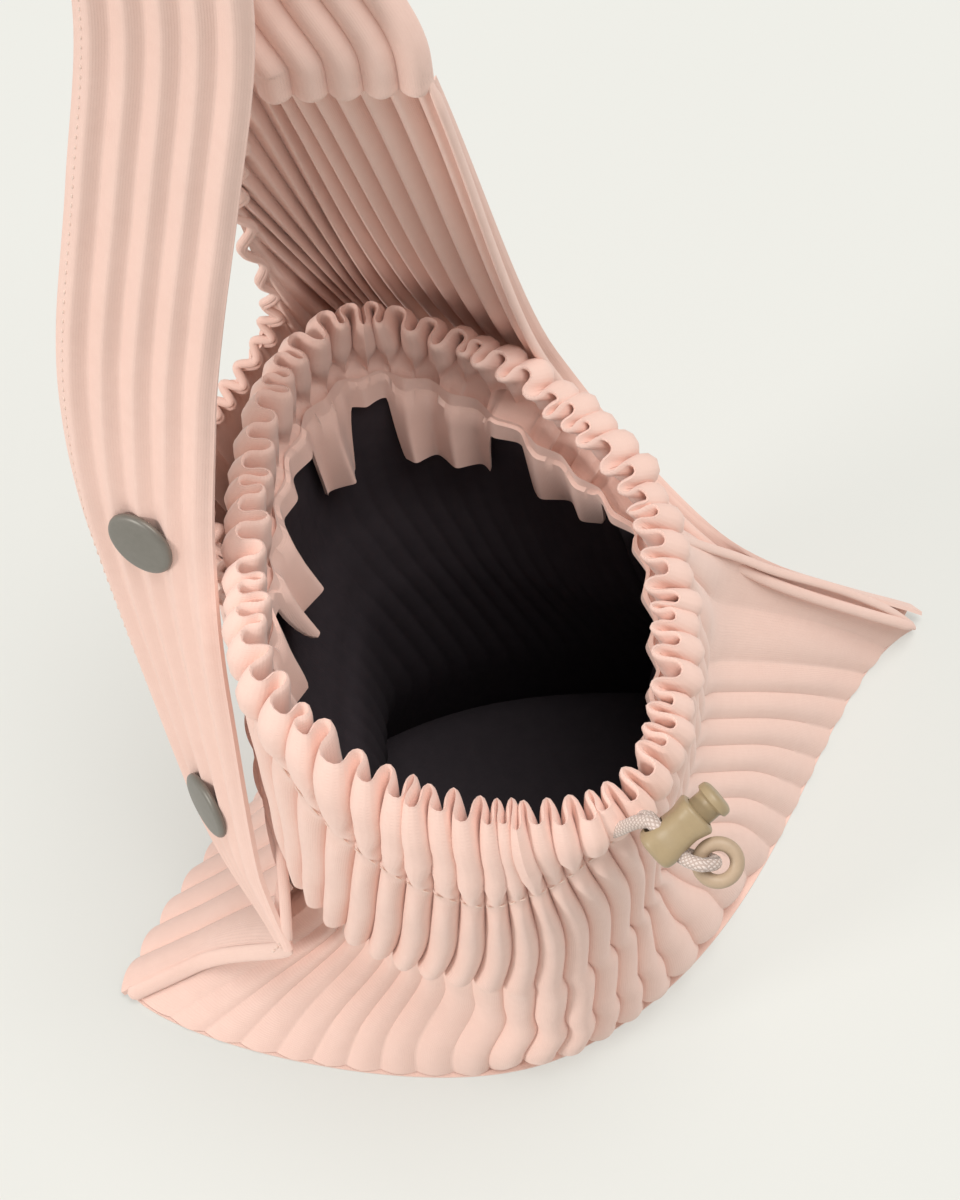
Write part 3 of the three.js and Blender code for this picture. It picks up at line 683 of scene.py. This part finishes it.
def make_looks():
    looks = {"thread": thread_look(), "cord": cord_look()}
    for key, (name, roughness, sheen, specular, scales, pitch, depth) in WOVEN.items():
        looks[key], tree, shader = new_look(name, roughness, sheen=sheen, specular=specular)
        mottle(tree, shader, TONES[key], scales)
        weave(tree, shader, pitch, depth)
    for key, (name, roughness, metallic, specular, scales, fine, depth) in MOULDED.items():
        looks[key], tree, shader = new_look(name, roughness, metallic=metallic, specular=specular)
        mottle(tree, shader, TONES[key], scales)
        grain(tree, shader, fine, depth)
    return looks


def ripple(s, count, start=0.0):
    """Wave with a whole count of turns round the pouch."""
    return np.sin(2 * np.pi * count * s + start)


def cloth_uv(along, up):
    """UV of a grid in millimetres, from the places of its columns and of its rows."""
    return np.stack(np.broadcast_arrays(along, up[:, None]), axis=-1)


def rib_profile(phase, power=0.62):
    """Round tube with a sharp crease on each side."""
    return np.abs(np.sin(np.pi * phase)) ** power


def gather_curve(bend=1.7, wide=0.22):
    """One gather seen from above as a winding line: place along the rim and swing across it."""
    f = np.linspace(0, 1, 361)
    heading = bend * np.sin(2 * np.pi * f)
    middle = (heading[1:] + heading[:-1]) / 2
    x = np.r_[0, np.cumsum(np.cos(middle))]
    y = np.r_[0, np.cumsum(np.sin(middle))]
    x = x / x[-1]
    return f, x - wide * np.sin(2 * np.pi * x) / (2 * np.pi), 2 * y / y.max() - 1


WALL = Wall()
GATHER = gather_curve()


def relief(s, t):
    """Share of the full pleat: low on the skirt at the left, on the wing and behind."""
    skirt = smooth(0.21, 0.15, s) * smooth(0.38, 0.3, t)
    wing = window(WING_FLAT, s) * smooth(0.62, 0.4, t)
    behind = smooth(0.5, 0.56, s) * smooth(0.4, 0.1, t)
    return 1 - FLAT_SHARE * np.clip(skirt + wing + behind, 0, 1)


def lean(s, t):
    """Outward lean of the gathered band, strongest at the back right."""
    out = LEAN_FAR_OUT * window(LEAN_FAR, s) + LEAN_SIDE_OUT * window(LEAN_SIDE, s)
    return out * smooth(0.72, 0.9, t) * (1 - 0.6 * smooth(0.95, 1.0, t))


def tuck(s, t):
    """The front ribs curl in under themselves at the floor."""
    return -TUCK_IN * window(TUCKED, s) * smooth(0.07, 0.0, t) ** 1.5


def stitch_level(s):
    """Height of the tunnel stitch at s."""
    return sample(STITCH_LEVEL, np.mod(s, 1))[..., 1]


def band_line(s, h):
    """Middle of the gathered band at share h of its height, and its own way out."""
    sway, push = sample(BAND, h)[[1, 3]]
    loose = smooth(0.05, 0.45, h)

    def place(s):
        phase = np.mod(s * PLEATS, 1)
        along = np.interp(phase, GATHER[0], GATHER[1]) - phase
        across = np.interp(phase, GATHER[0], GATHER[2])
        uneven = 1 + 0.12 * (ripple(s, 21) + ripple(s, 34, 2))
        slant = (0.2 * ripple(s, 13) + 0.07 * ripple(s, 31, 1)) * h
        swing = mix(2 * rib_profile(phase) - 1, across, loose) * sway * uneven
        shift = (along * loose + slant) / PLEATS
        t = mix(stitch_level(s), 1, h)
        return WALL.off(s + shift, t, swing + push + lean(s, t), 0.16 * swing * h)

    step = 0.03 / PLEATS
    d = place(s + step) - place(s - step)
    own = unit(np.stack([d[..., 1], -d[..., 0], np.zeros(d.shape[:-1])], axis=-1))
    level = mix(stitch_level(s), 1, h)
    plain = WALL.off(s, level, 1.0) - WALL.off(s, level)
    return place(s), unit(mix(plain, own, loose))


def wall_rows(s):
    """Pleated outside of the wall up to the stitch: each row's points and its place up the cloth."""
    phase = np.mod(s * PLEATS, 1)
    rib = rib_profile(phase)
    tip = np.minimum(np.minimum(np.abs(s - 0.5), s), 1 - s)
    calm = np.clip(tip / 0.03, 0, 1)
    ease = stitch_level(s) / STITCH
    low = np.linspace(0, 0.3, 20)
    bend = np.linspace(0.3, 0.46, 14)[1:]
    high = np.linspace(0.46, 0.8, 12)[1:]
    for t in np.r_[low, bend, high, 0.82, 0.84, 0.855, 0.866, 0.874]:
        at = t * mix(1, ease, smooth(0.45, 0.8, t))
        share = relief(s, t)
        puff = 1 + 0.35 * window(FULL_TOP, t)
        puff += 0.45 * smooth(0.2, 0.13, s) * window(FULL_LEFT, t)
        pinch = mix(1, 0.5, smooth(0.845, 0.88, t))
        soft = mix(rib, np.sin(np.pi * phase) ** 1.3, 1 - share)
        deep = mix(PLEAT_FLOOR, PLEAT_DEEP, smooth(0, 0.2, t)) * share * mix(calm, 1, t)
        gather = 1.4 * smooth(0.85, 0.88, t)
        yield WALL.off(s, at, gather + deep * puff * pinch * soft + lean(s, at) + tuck(s, t)), 180 * t


def tunnel_rows(s):
    """Gathered cord tunnel: up its outside and down its inside."""
    def band(h, side):
        middle, out = band_line(s, h)
        return middle + out * (side * sample(BAND, h)[2])

    for h in BAND_STEPS:
        yield band(h, 1), 160 + 18 * h
    for h in BAND_STEPS[-2::-1]:
        yield band(h, -1), 198 - 18 * h


def facing_rows(s):
    """Facing inside the rim: short all round, with a few loose flaps."""
    fold = np.interp(np.mod(s * PLEATS / 2 + 0.3, 1), GATHER[0], GATHER[2]) / 2 + 0.5
    flap = np.zeros(len(s))
    reach = np.zeros(len(s))
    for start, end, inward in FLAPS:
        here = window((start - FLAP_EASE, start + FLAP_EASE, end - FLAP_EASE, end + FLAP_EASE), s)
        flap = np.maximum(flap, here)
        reach += here * inward
    length = mix(FACING_SHORT, 1.0, flap)
    for layer, shares in ((0.0, (0.2, 0.4, 0.6, 0.8, 0.97, 1.0)), (1.0, (1.0, 0.7, 0.35, 0.0))):
        for share in shares:
            down = share * length
            offset = mix(FACING_TOP_IN, FLAP_END_IN, down) - reach * down + (1.6 + 3.6 * down) * fold + layer
            points = WALL.off(s, mix(STITCH, FLAP_END, down), offset, 4.0 * (fold - 0.5) * down)
            yield points, 200 + 30 * layer + 20 * share


def inner_ring(t, extra=0.0):
    """Section of the inside of the wall, or of a layer that lies extra further in."""
    tip = 1.2 + 8 * (1 - t) ** 2 + extra * (1.5 + 15 * max(0.8 - t, 0))
    return Ring(t, CLOTH + 0.1 + 0.9 * (1 - t) + extra, tip)


def inside_rows(s):
    """Plain inside of the wall, from the facing down to the floor."""
    for t in (0.8, 0.6, 0.46, 0.4, 0.34, 0.28, 0.2, 0.1, 0.0):
        yield inner_ring(t).off(s, tuck(s, t)), 240 + 180 * (1 - t)


def pouch(looks):
    count = PLEATS * PER_PLEAT
    s = np.arange(count) / count
    rows = [*wall_rows(s), *tunnel_rows(s), *facing_rows(s), *inside_rows(s)]
    grid = np.array([points for points, up in rows])
    uv = cloth_uv(s * 620, np.array([up for points, up in rows]))
    cloth = ring_object("pouch_cloth", grid, uv, looks["cloth"])
    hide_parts("pouch_wall")


def lining(looks):
    count = PLEATS * LINING_PER_PLEAT
    s = np.arange(count) / count
    rib = rib_profile(np.mod(s * PLEATS, 1), 0.9)
    deep = 0.5 + 2.2 * window(LINING_RIBS, s)
    low = np.linspace(0, 0.3, 9)
    bend = np.linspace(0.3, 0.46, 9)[1:]
    high = np.linspace(0.46, LINING_TOP, 11)[1:]

    def layer(extra, floor, pleat):
        out = []
        for t in np.r_[low, bend, high]:
            p = inner_ring(t, extra).off(s, -pleat * deep * rib * window(LINING_RISE, t))
            p[:, 2] = np.maximum(p[:, 2], floor)
            out.append(p)
        return out

    outer = layer(LINING_GAP, LINING_FLOOR, 0.0)
    inner = layer(LINING_GAP + LINING_THICK, LINING_FLOOR + LINING_THICK, 1.0)
    centre = np.array([inner[0].mean(axis=0)])
    floor = [mix(inner[0], centre, f) for f in (0.35, 0.7, 0.98)]
    under = [mix(outer[0], centre - [0, 0, LINING_THICK], f) for f in (0.98, 0.5)]
    grid = np.array(outer + inner[::-1] + floor + under)
    uv = cloth_uv(s * 560, np.linspace(0, 380, len(grid)))
    cloth = ring_object("lining_cloth", grid, uv, looks["lining"])
    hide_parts("lining")


def base(looks):
    edge = Ring(0).at(np.arange(240) / 240)
    grow = np.where(edge[:, 1] > 0, BASE_BACK, BASE_FRONT)
    edge = np.stack([edge[:, 0] * BASE_ALONG, edge[:, 1] * grow, np.zeros(len(edge))], axis=1)
    grid = np.array([edge * scale + [0, 0, z] for scale, z in BASE_EDGE])
    cloth = ring_object("base_cloth", grid, grid[..., :2], looks["cloth"])
    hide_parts("base_panel")


def panel_points(u, v):
    """Back panel at every u (columns) and v (rows): it hugs the pouch at the left."""
    foot = Ring(0)
    bottom = foot.at(1 - u / 2)
    stand = FOOT_OUT * np.sin(np.pi * np.clip(u, 0.06, 0.94)) + FOOT_GAP
    bottom += foot.normal(1 - u / 2) * stand[:, None]
    bottom[:, 1] += FOOT_TIPS * np.abs(2 * u - 1) ** 6
    bottom[:, 2] = FOOT_UP
    rib = sample(RIBS, u)
    top = sample(HEM, u)[:, 1:]
    out = np.empty((len(v), len(u), 3))
    for j in range(len(u)):
        rows = ((0, *bottom[j]), (RIB_LOW, *rib[j, 1:4]), (RIB_HIGH, *rib[j, 4:7]), (1, *top[j]))
        out[:, j] = sample(rows, v)[:, 1:]
    climb = np.clip(u / SIDE_SEAM, 0, 1)
    place = mix(1 - u[None] / 2, (1 - 0.1 * climb**1.2)[None], v[:, None])
    height = mix(SEAM_LOW, SEAM_HIGH, climb)[None] * v[:, None]
    hug = WALL.off(np.minimum(place, PANEL_END), height, PANEL_OFF)
    out = mix(out, hug, smooth(0.44, SIDE_SEAM + 0.02, u)[None, :, None])
    pull = smooth(0.09, 0, u)[None, :, None] * smooth(0.35, 1, v)[:, None, None]
    out = out + pull * (KNEE - WALL.off(PANEL_END, SEAM_LOW, PANEL_OFF))
    out[..., 1] -= sample(WING_GAP, v)[:, 1:] * smooth(0.86, 1.0, u)[None]
    return out


def panel_frame(u, v):
    """Points of the back panel and its way out."""
    p = panel_points(u, v)
    du = panel_points(np.minimum(u + 0.02, 1), v) - panel_points(np.maximum(u - 0.02, 0), v)
    dv = panel_points(u, np.minimum(v + 0.05, 1)) - panel_points(u, np.maximum(v - 0.05, 0))
    return p, unit(np.cross(dv, du))


def ruffle_wave(path):
    """Uneven wave along an elastic edge, longer where the edge stands up."""
    turn = lengths(path - np.outer(path @ TOWARD, TOWARD)) / RUFFLE
    return np.sin(2 * np.pi * (turn + 0.18 * np.sin(1.3 * turn))) * (1 + 0.25 * np.sin(1.9 * turn))


def elastic_hem(looks):
    """Two wavy cords of cloth along the top edge of the pocket."""
    u = np.linspace(ELASTIC_FROM, ELASTIC_TO, 460)
    points, out = panel_frame(u, np.array([0.95, 1.0]))
    path = points[1] + out[1] * HEM_LIFT
    inward = unit(points[0] - points[1])
    side = unit(np.cross(np.gradient(path, axis=0), TOWARD))
    path = path + side * (RUFFLE_HIGH * ruffle_wave(path))[:, None]
    for name, shift in HEM_CORDS.items():
        band = tube_object(name, path + inward * shift, 1.15, 1.0, 12, side, looks["cloth"])


def back_panel(looks):
    fine = np.linspace(0, 1, 2001)
    count = sample(PANEL_PHASE, fine)[:, 1]
    turn = np.linspace(0, count[-1], int(count[-1]) * PANEL_PER_PLEAT + 1)
    u = np.interp(turn, count, fine)
    v = np.r_[np.linspace(0, 0.9, 40), np.linspace(0.9, 1, 22)[1:]]
    p, out = panel_frame(u, v)
    inside = smooth(0.5, 0.62, u)
    rib = rib_profile(np.mod(turn, 1), mix(0.7, 1.1, inside))
    high = mix(PANEL_RIB, FAN_RIB, inside) * mix(rib, 1 - rib, inside)
    flat = 0.8 * window(PANEL_CALM, u)[None] * smooth(0.4, 0.75, v)[:, None]
    hem = window(ELASTIC, u)[None] * smooth(0.87, 0.985, v)[:, None]
    ruffle = ruffle_wave(p[-1])[None] * hem * smooth(0.66, 0.6, u)[None]
    lift = mix(high[None] * (1 - flat), HEM_LIFT, hem) + ruffle
    front = p + out * lift[..., None]
    back = p + out * (lift + CLOTH)[..., None]
    cloth = sheet_object("back_cloth", front, back, cloth_uv(turn * 14, v * 260), looks["cloth"])
    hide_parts("back_panel")


def strap_frame(w):
    """Middle of the strap, the ways along and across it, and its way out."""
    w = np.asarray(w, float)
    row = sample(STRAP_PATH, w)
    centre = row[..., 1:4]
    ahead = sample(STRAP_PATH, np.minimum(w + 0.006, 1))[..., 1:4]
    behind = sample(STRAP_PATH, np.maximum(w - 0.006, 0))[..., 1:4]
    along = unit(ahead - behind)
    turn = np.radians(row[..., 4:5])
    across = ACROSS * np.cos(turn) + TOWARD * np.sin(turn)
    across = unit(across - along * np.sum(across * along, axis=-1, keepdims=True))
    return centre, along, across, np.cross(across, along)


def strap(looks):
    w = np.linspace(0, 1, 150)
    k = np.linspace(0, 1, STRAP_RIBS * STRAP_PER_RIB + 1)
    centre, along, across, out = strap_frame(w)
    end = np.array(STRAP_END)
    centre = np.vstack([centre, centre[-1:] + along[-1:] * end[:, 1:2]])
    along, across, out = (np.vstack([q] + [q[-1:]] * len(end)) for q in (along, across, out))
    thin = np.r_[np.zeros(len(w)), end[:, 2]]
    w = np.r_[w, end[:, 0]]
    point = 0.75 * smooth(0.058, -0.01, w)[:, None]
    reach = mix((k - 0.5)[None], 0.5, point) * STRAP_WIDE
    phase = np.mod(k * STRAP_RIBS, 1)
    tooth = 1 - np.abs(2 * phase - 1)
    ridge = STRAP_RIB * 1.45 * mix(tooth, smooth(0, 1, tooth), 0.45)
    tube = -2.6 * rib_profile(phase, 0.8)
    rib = mix(ridge[None], tube[None], smooth(0.62, 0.72, w)[:, None]) * (1 - point)
    edge = 0.5 * smooth(0.06, 0.0, np.minimum(k, 1 - k))[None] + (STRAP_THICK / 2 * thin)[:, None]
    middle = centre[:, None] + across[:, None] * reach[..., None]
    front = middle + out[:, None] * (rib + STRAP_THICK / 2 - edge)[..., None]
    back = middle + out[:, None] * (rib - STRAP_THICK / 2 + edge)[..., None]
    cloth = sheet_object("strap_cloth", front, back, cloth_uv(reach, w * STRAP_LENGTH), looks["cloth"])
    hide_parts("strap")


def snaps(looks):
    profile = [(SNAP_R - narrower, height) for narrower, height in SNAP_OUTLINE]
    for name, w in SNAPS.items():
        centre, along, across, out = strap_frame(w)
        seat = centre + out * (STRAP_THICK / 2 + STRAP_RIB + 0.3)
        cap = lathe_object(name + "_disc", profile, 64, seat, out, looks["snap"])
        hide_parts(name)


# Own axes of the lock, along the cord and along the button, and of the ring
LOCK_X = unit(LOCK_CORD_DIR)
LOCK_Y = unit(LOCK_BUTTON_DIR - LOCK_X * np.dot(LOCK_BUTTON_DIR, LOCK_X))
LOCK_Z = np.cross(LOCK_X, LOCK_Y)
RING_X = LOCK_X * math.cos(RING_BEND) + LOCK_Y * math.sin(RING_BEND)
RING_Y = np.cross(LOCK_Z, RING_X)


def lock_point(a, b, c):
    """Point in the lock's own axes."""
    return LOCK_AT + LOCK_X * a + LOCK_Y * b + LOCK_Z * c


def ring_point(a, c):
    """Point in the plane of the ring."""
    return lock_point(LOCK_ALONG / 2 + RING_OUT, CHANNEL_AT, c) + RING_X * a


def curve_through(knots, steps):
    """Smooth curve that passes through every knot, with some steps from each to the next."""
    fine = []
    for i in range(len(knots) - 1):
        a, b, c, d = (knots[min(max(i + k, 0), len(knots) - 1)] for k in (-1, 0, 1, 2))
        for f in np.arange(steps) / steps:
            bend = (2 * a - 5 * b + 4 * c - d) * f**2 + (3 * b - a - 3 * c + d) * f**3
            fine.append(0.5 * (2 * b + (c - a) * f + bend))
    return np.array(fine + [knots[-1]])


def cord_points():
    """Route of the cord with its radius: lock, round the tunnel, back through the lock and the ring."""
    low, half = CHANNEL_AT, STRAND_GAP / 2
    end = LOCK_ALONG / 2
    span = np.linspace(0, 1, PLEATS * 8)
    s = EXIT_S + EXIT_HALF + (1 - 2 * EXIT_HALF) * span
    inside = band_line(s, (CORD_LEVEL - STITCH) / (1 - STITCH))[0]
    hidden = smooth(0.0, 0.012, np.minimum(span, 1 - span))
    knots = [lock_point(-1, low, -half), lock_point(-end - 1, low, -half), *inside]
    knots += [lock_point(-end - 1, low, half), lock_point(end - 1, low, half)]
    for k in range(9):
        a = math.pi / 2 - math.pi * k / 8
        knots.append(ring_point(TURN_OUT + TURN_R * math.cos(a), TURN_R * math.sin(a)))
    knots += [lock_point(end - 1, low, -half), lock_point(1, low, -half)]
    radius = np.r_[1, 1, mix(1, CORD_SQUEEZE, hidden), np.ones(13)] * CORD_R
    fine = curve_through(np.array(knots), CORD_STEPS)
    size = np.interp(np.arange(len(fine)) / CORD_STEPS, np.arange(len(knots)), radius)
    return fine, size


def cord(looks):
    route, size = cord_points()
    piece = tube_object("drawcord_braid", route, size, size, 14, LOCK_Y, looks["cord"])
    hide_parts("drawcord")


def oval_block(name, table, look, power=3.2):
    """Block along the button's axis with rounded square sections."""
    a = circle(64)
    x, y = (np.sign(q) * np.abs(q) ** (2 / power) for q in (np.cos(a), np.sin(a)))
    b = np.unique(np.r_[np.linspace(table[0][0], table[-1][0], 40), [row[0] for row in table]])
    half = sample(table, b)
    grid = np.array([[lock_point(h[1] * i, q, h[2] * j) for i, j in zip(x, y)] for q, h in zip(b, half)])
    caps = [lock_point(0, end, 0) for end in (b[0], b[-1])]
    return capped_object(name, grid, caps, look, sharp=HARD_EDGE)


def prism(name, start, end):
    """Closed prism for cutting, between two outlines with equally many points."""
    n = len(start)
    faces = [tuple(range(n))[::-1], tuple(range(n, 2 * n))]
    faces += [(j, (j + 1) % n, n + (j + 1) % n, n + j) for j in range(n)]
    mesh = bpy.data.meshes.new(name)
    mesh.from_pydata((np.array(start + end) * MM).tolist(), [], faces)
    work = bmesh.new()
    work.from_mesh(mesh)
    bmesh.ops.recalc_face_normals(work, faces=work.faces)
    work.to_mesh(mesh)
    work.free()
    return add_object(name, mesh)


def cut(body, tools):
    """Take the tools away from the body and round the edges that are left."""
    bpy.context.view_layer.objects.active = body
    for tool in tools:
        change = body.modifiers.new("cut", "BOOLEAN")
        change.operation = "DIFFERENCE"
        change.solver = "EXACT"
        change.object = tool
        bpy.ops.object.modifier_apply(modifier=change.name)
        bpy.data.objects.remove(tool)
    edge = body.modifiers.new("edge", "BEVEL")
    edge.width = 0.3 * MM
    edge.segments = 2
    edge.limit_method = "ANGLE"
    edge.angle_limit = math.radians(50)
    bpy.ops.object.modifier_apply(modifier=edge.name)
    body.data.polygons.foreach_set("use_smooth", np.ones(len(body.data.polygons), bool))
    body.data.set_sharp_from_angle(angle=math.radians(HARD_EDGE))


def lock(looks):
    body = oval_block("lock_body", LOCK_BODY, looks["lock"])
    around = circle(40)
    half = CHANNEL_HIGH / 2
    reach = CHANNEL_WIDE / 2 - half
    slot = [(CHANNEL_AT + half * math.cos(a), math.copysign(reach, math.sin(a)) + half * math.sin(a))
            for a in around]
    ends = ([lock_point(a, b, c) for b, c in slot] for a in (-CHANNEL_CUT, CHANNEL_CUT))
    channel = prism("channel_tool", *ends)
    loose = BUTTON_R + BUTTON_PLAY
    hole = [(loose * math.cos(a), loose * math.sin(a)) for a in around]
    ends = ([lock_point(a, b, c) for a, c in hole] for b in (BORE_FLOOR, BORE_CUT))
    bore = prism("bore_tool", *ends)
    cut(body, (channel, bore))
    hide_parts("cord_lock")


def lock_button(looks):
    face = LOCK_ACROSS / 2
    foot = BORE_FLOOR + BUTTON_GAP + 0.4
    neck = face + BUTTON_GAP
    head = face + BUTTON_OUT
    profile = [
        (BUTTON_R - 0.3, foot), (BUTTON_R, foot + 0.3), (BUTTON_R, neck - 0.5), (BUTTON_R + 0.3, neck - 0.1),
        (BUTTON_HEAD_R - 0.3, neck), (BUTTON_HEAD_R, neck + 0.3), (BUTTON_HEAD_R, head - 0.3),
        (BUTTON_HEAD_R - 0.15, head + 0.2), (BUTTON_HEAD_R - 0.6, head + 0.65),
        (BUTTON_HEAD_R - 1.3, head + 0.92), (1.5, head + 1.0),
    ]
    button = lathe_object("lock_button_cap", profile, 48, LOCK_AT, LOCK_Y, looks["lock"], "lock_button")
    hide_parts("lock_button")


def ring(looks):
    a = circle(56)[:, None]
    b = circle(20)[None]
    spoke = RING_X * np.cos(a)[..., None] + RING_Y * np.sin(a)[..., None]
    across = (RING_R + RING_TUBE * np.cos(b))[..., None]
    grid = ring_point(TURN_OUT + RING_R, 0) + spoke * across + LOCK_Z * (RING_TUBE * np.sin(b))[..., None]
    uv = np.stack(np.broadcast_arrays(a * 4, b * 2), axis=-1)
    piece = ring_object("ring_loop", grid, uv, looks["ring"])
    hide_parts("cord_ring")


def stitches(name, paths, radius, looks):
    """Short thread dashes: each path is a pair of end points with the way out of the cloth."""
    points = []
    faces = []
    sides = 6
    for start, end, out in paths:
        start, end, out = np.asarray(start), np.asarray(end), unit(out)
        along = unit(end - start)
        side = unit(np.cross(along, out))
        first = len(points)
        for f, size, lift in THREAD:
            middle = mix(start, end, f) + out * radius * lift
            for a in circle(sides):
                points.append(middle + (side * math.cos(a) + out * math.sin(a)) * radius * size)
        faces += [tuple(first + quad) for quad in grid_quads(len(THREAD), sides)]
        faces.append(tuple(first + k for k in range(sides))[::-1])
        faces.append(tuple(first + (len(THREAD) - 1) * sides + k for k in range(sides)))
    points = np.array(points)
    piece = new_object(name, points, faces, points[:, :2], looks["thread"])


def hems(looks):
    """Folded bands along the side seams and the edge of the fan."""
    t = np.linspace(0.0, 0.74, 60)
    seam = WALL.off(0.4999, t)
    v = np.linspace(0.02, 0.995, 90)
    fan = np.vstack([panel_points(np.array([1.0]), v)[:, 0], [FAN_CORNER]])
    left = panel_points(np.array([0.0]), np.linspace(0.02, 1.0, 50))[:, 0]
    side = panel_points(np.linspace(0.0, SIDE_SEAM, 40), np.array([1.0]))[0]
    paths = (
        ("hem_right", seam + [0.4, -0.6, 1.0], 1.3, (0.1, 1.0, 0.6)),
        ("hem_fan", fan + [0.5, -0.4, 0.5], 1.5, (0.6, 0.6, 0.3)),
        ("hem_left", left + [-0.2, -1.2, 1.2], 2.3, (0.2, 0.6, 1.0)),
        ("hem_side", side + [-0.6, -0.6, 0.6], 1.5, (0.8, -0.6, 0.0)),
    )
    for name, path, wide, across in paths:
        band = tube_object(name, path, wide, 0.85, 16, np.array(across), looks["cloth"])


def strap_topstitch(looks):
    """Topstitch along the left edge of the strap."""
    centre, along, across, out = strap_frame(np.linspace(0.062, 0.99, 180))
    spots = centre + across * (1.9 - STRAP_WIDE / 2) + out * (STRAP_THICK / 2 + STRAP_RIB * 0.62)
    half = along * 0.75
    stitches("strap_topstitch", zip(spots - half, spots + half, out), 0.28, looks)


def tunnel_stitch(looks):
    """A dash across each crease below the gathers."""
    s = np.arange(PLEATS * 2) / (PLEATS * 2) + 0.25 / PLEATS
    rib = rib_profile(np.mod(s * PLEATS, 1))
    half = 0.16 / PLEATS
    lift = 1.5 + 1.2 * (2 * rib - 1) + 0.25 + lean(s, stitch_level(s))
    left, right = (WALL.off(q, stitch_level(q), lift) for q in (s - half, s + half))
    out = WALL.off(s, stitch_level(s), 1.0) - WALL.off(s, stitch_level(s))
    stitches("tunnel_stitch", zip(left, right, out), 0.25, looks)


def knee_tack(looks):
    """Bar tack at the knee."""
    middle = KNEE + TOWARD * 2.4 + ACROSS * -1.5
    step = unit(np.array([1.0, 0.25, 0.35])) * 1.2
    dashes = [(middle + step * (k - 3) - TOWARD * 0.2, middle + step * (k - 2.2), TOWARD) for k in range(6)]
    stitches("knee_tack", dashes, 0.4, looks)


def stage_floor():
    mesh = bpy.data.meshes.new("floor")
    corners = [(x * FLOOR_HALF, y * FLOOR_HALF, 0) for x, y in ((-1, -1), (1, -1), (1, 1), (-1, 1))]
    mesh.from_pydata(corners, [], [(0, 1, 2, 3)])
    look, tree, shader = new_look("floor_pale", 0.9, specular=0.1)
    mottle(tree, shader, TONES["floor"], (4.0,))
    shader.inputs["Emission Color"].default_value = FLOOR_GLOW
    shader.inputs["Emission Strength"].default_value = FLOOR_GLOW_POWER
    mesh.materials.append(look)
    obj = add_object("floor", mesh)


def stage_light():
    world = bpy.data.worlds.new("studio")
    world.use_nodes = True
    glow = world.node_tree.nodes["Background"].inputs
    glow["Color"].default_value = ROUND_LIGHT
    glow["Strength"].default_value = ROUND_POWER
    scene = bpy.context.scene
    scene.world = world
    for name, (toward, power, angle) in LAMPS.items():
        lamp = bpy.data.lights.new(name, "SUN")
        lamp.energy = power
        lamp.angle = math.radians(angle)
        lamp.color = LAMP_TONE
        add_object(name, lamp).rotation_euler = Vector(toward).to_track_quat("Z", "Y").to_euler()
    scene.view_settings.view_transform = "Standard"
    scene.view_settings.look = "None"


def camera():
    lens = bpy.data.cameras.new("photo")
    lens.sensor_fit = "VERTICAL"
    lens.sensor_height = SENSOR
    lens.sensor_width = SENSOR
    lens.lens = LENS
    lens.clip_end = SIGHT_END
    obj = add_object("photo", lens)
    turn = Matrix((CAMERA_RIGHT, CAMERA_UP, CAMERA_BACK)).transposed().to_4x4()
    turn.translation = Vector(CAMERA_AT) * MM
    obj.matrix_world = turn
    bpy.context.scene.camera = obj


camera()
looks = make_looks()
for make in (cord, pouch, lining, base, back_panel, elastic_hem, strap, snaps, lock, lock_button, ring, hems,
             strap_topstitch, tunnel_stitch, knee_tack):
    make(looks)
stage_floor()
stage_light()
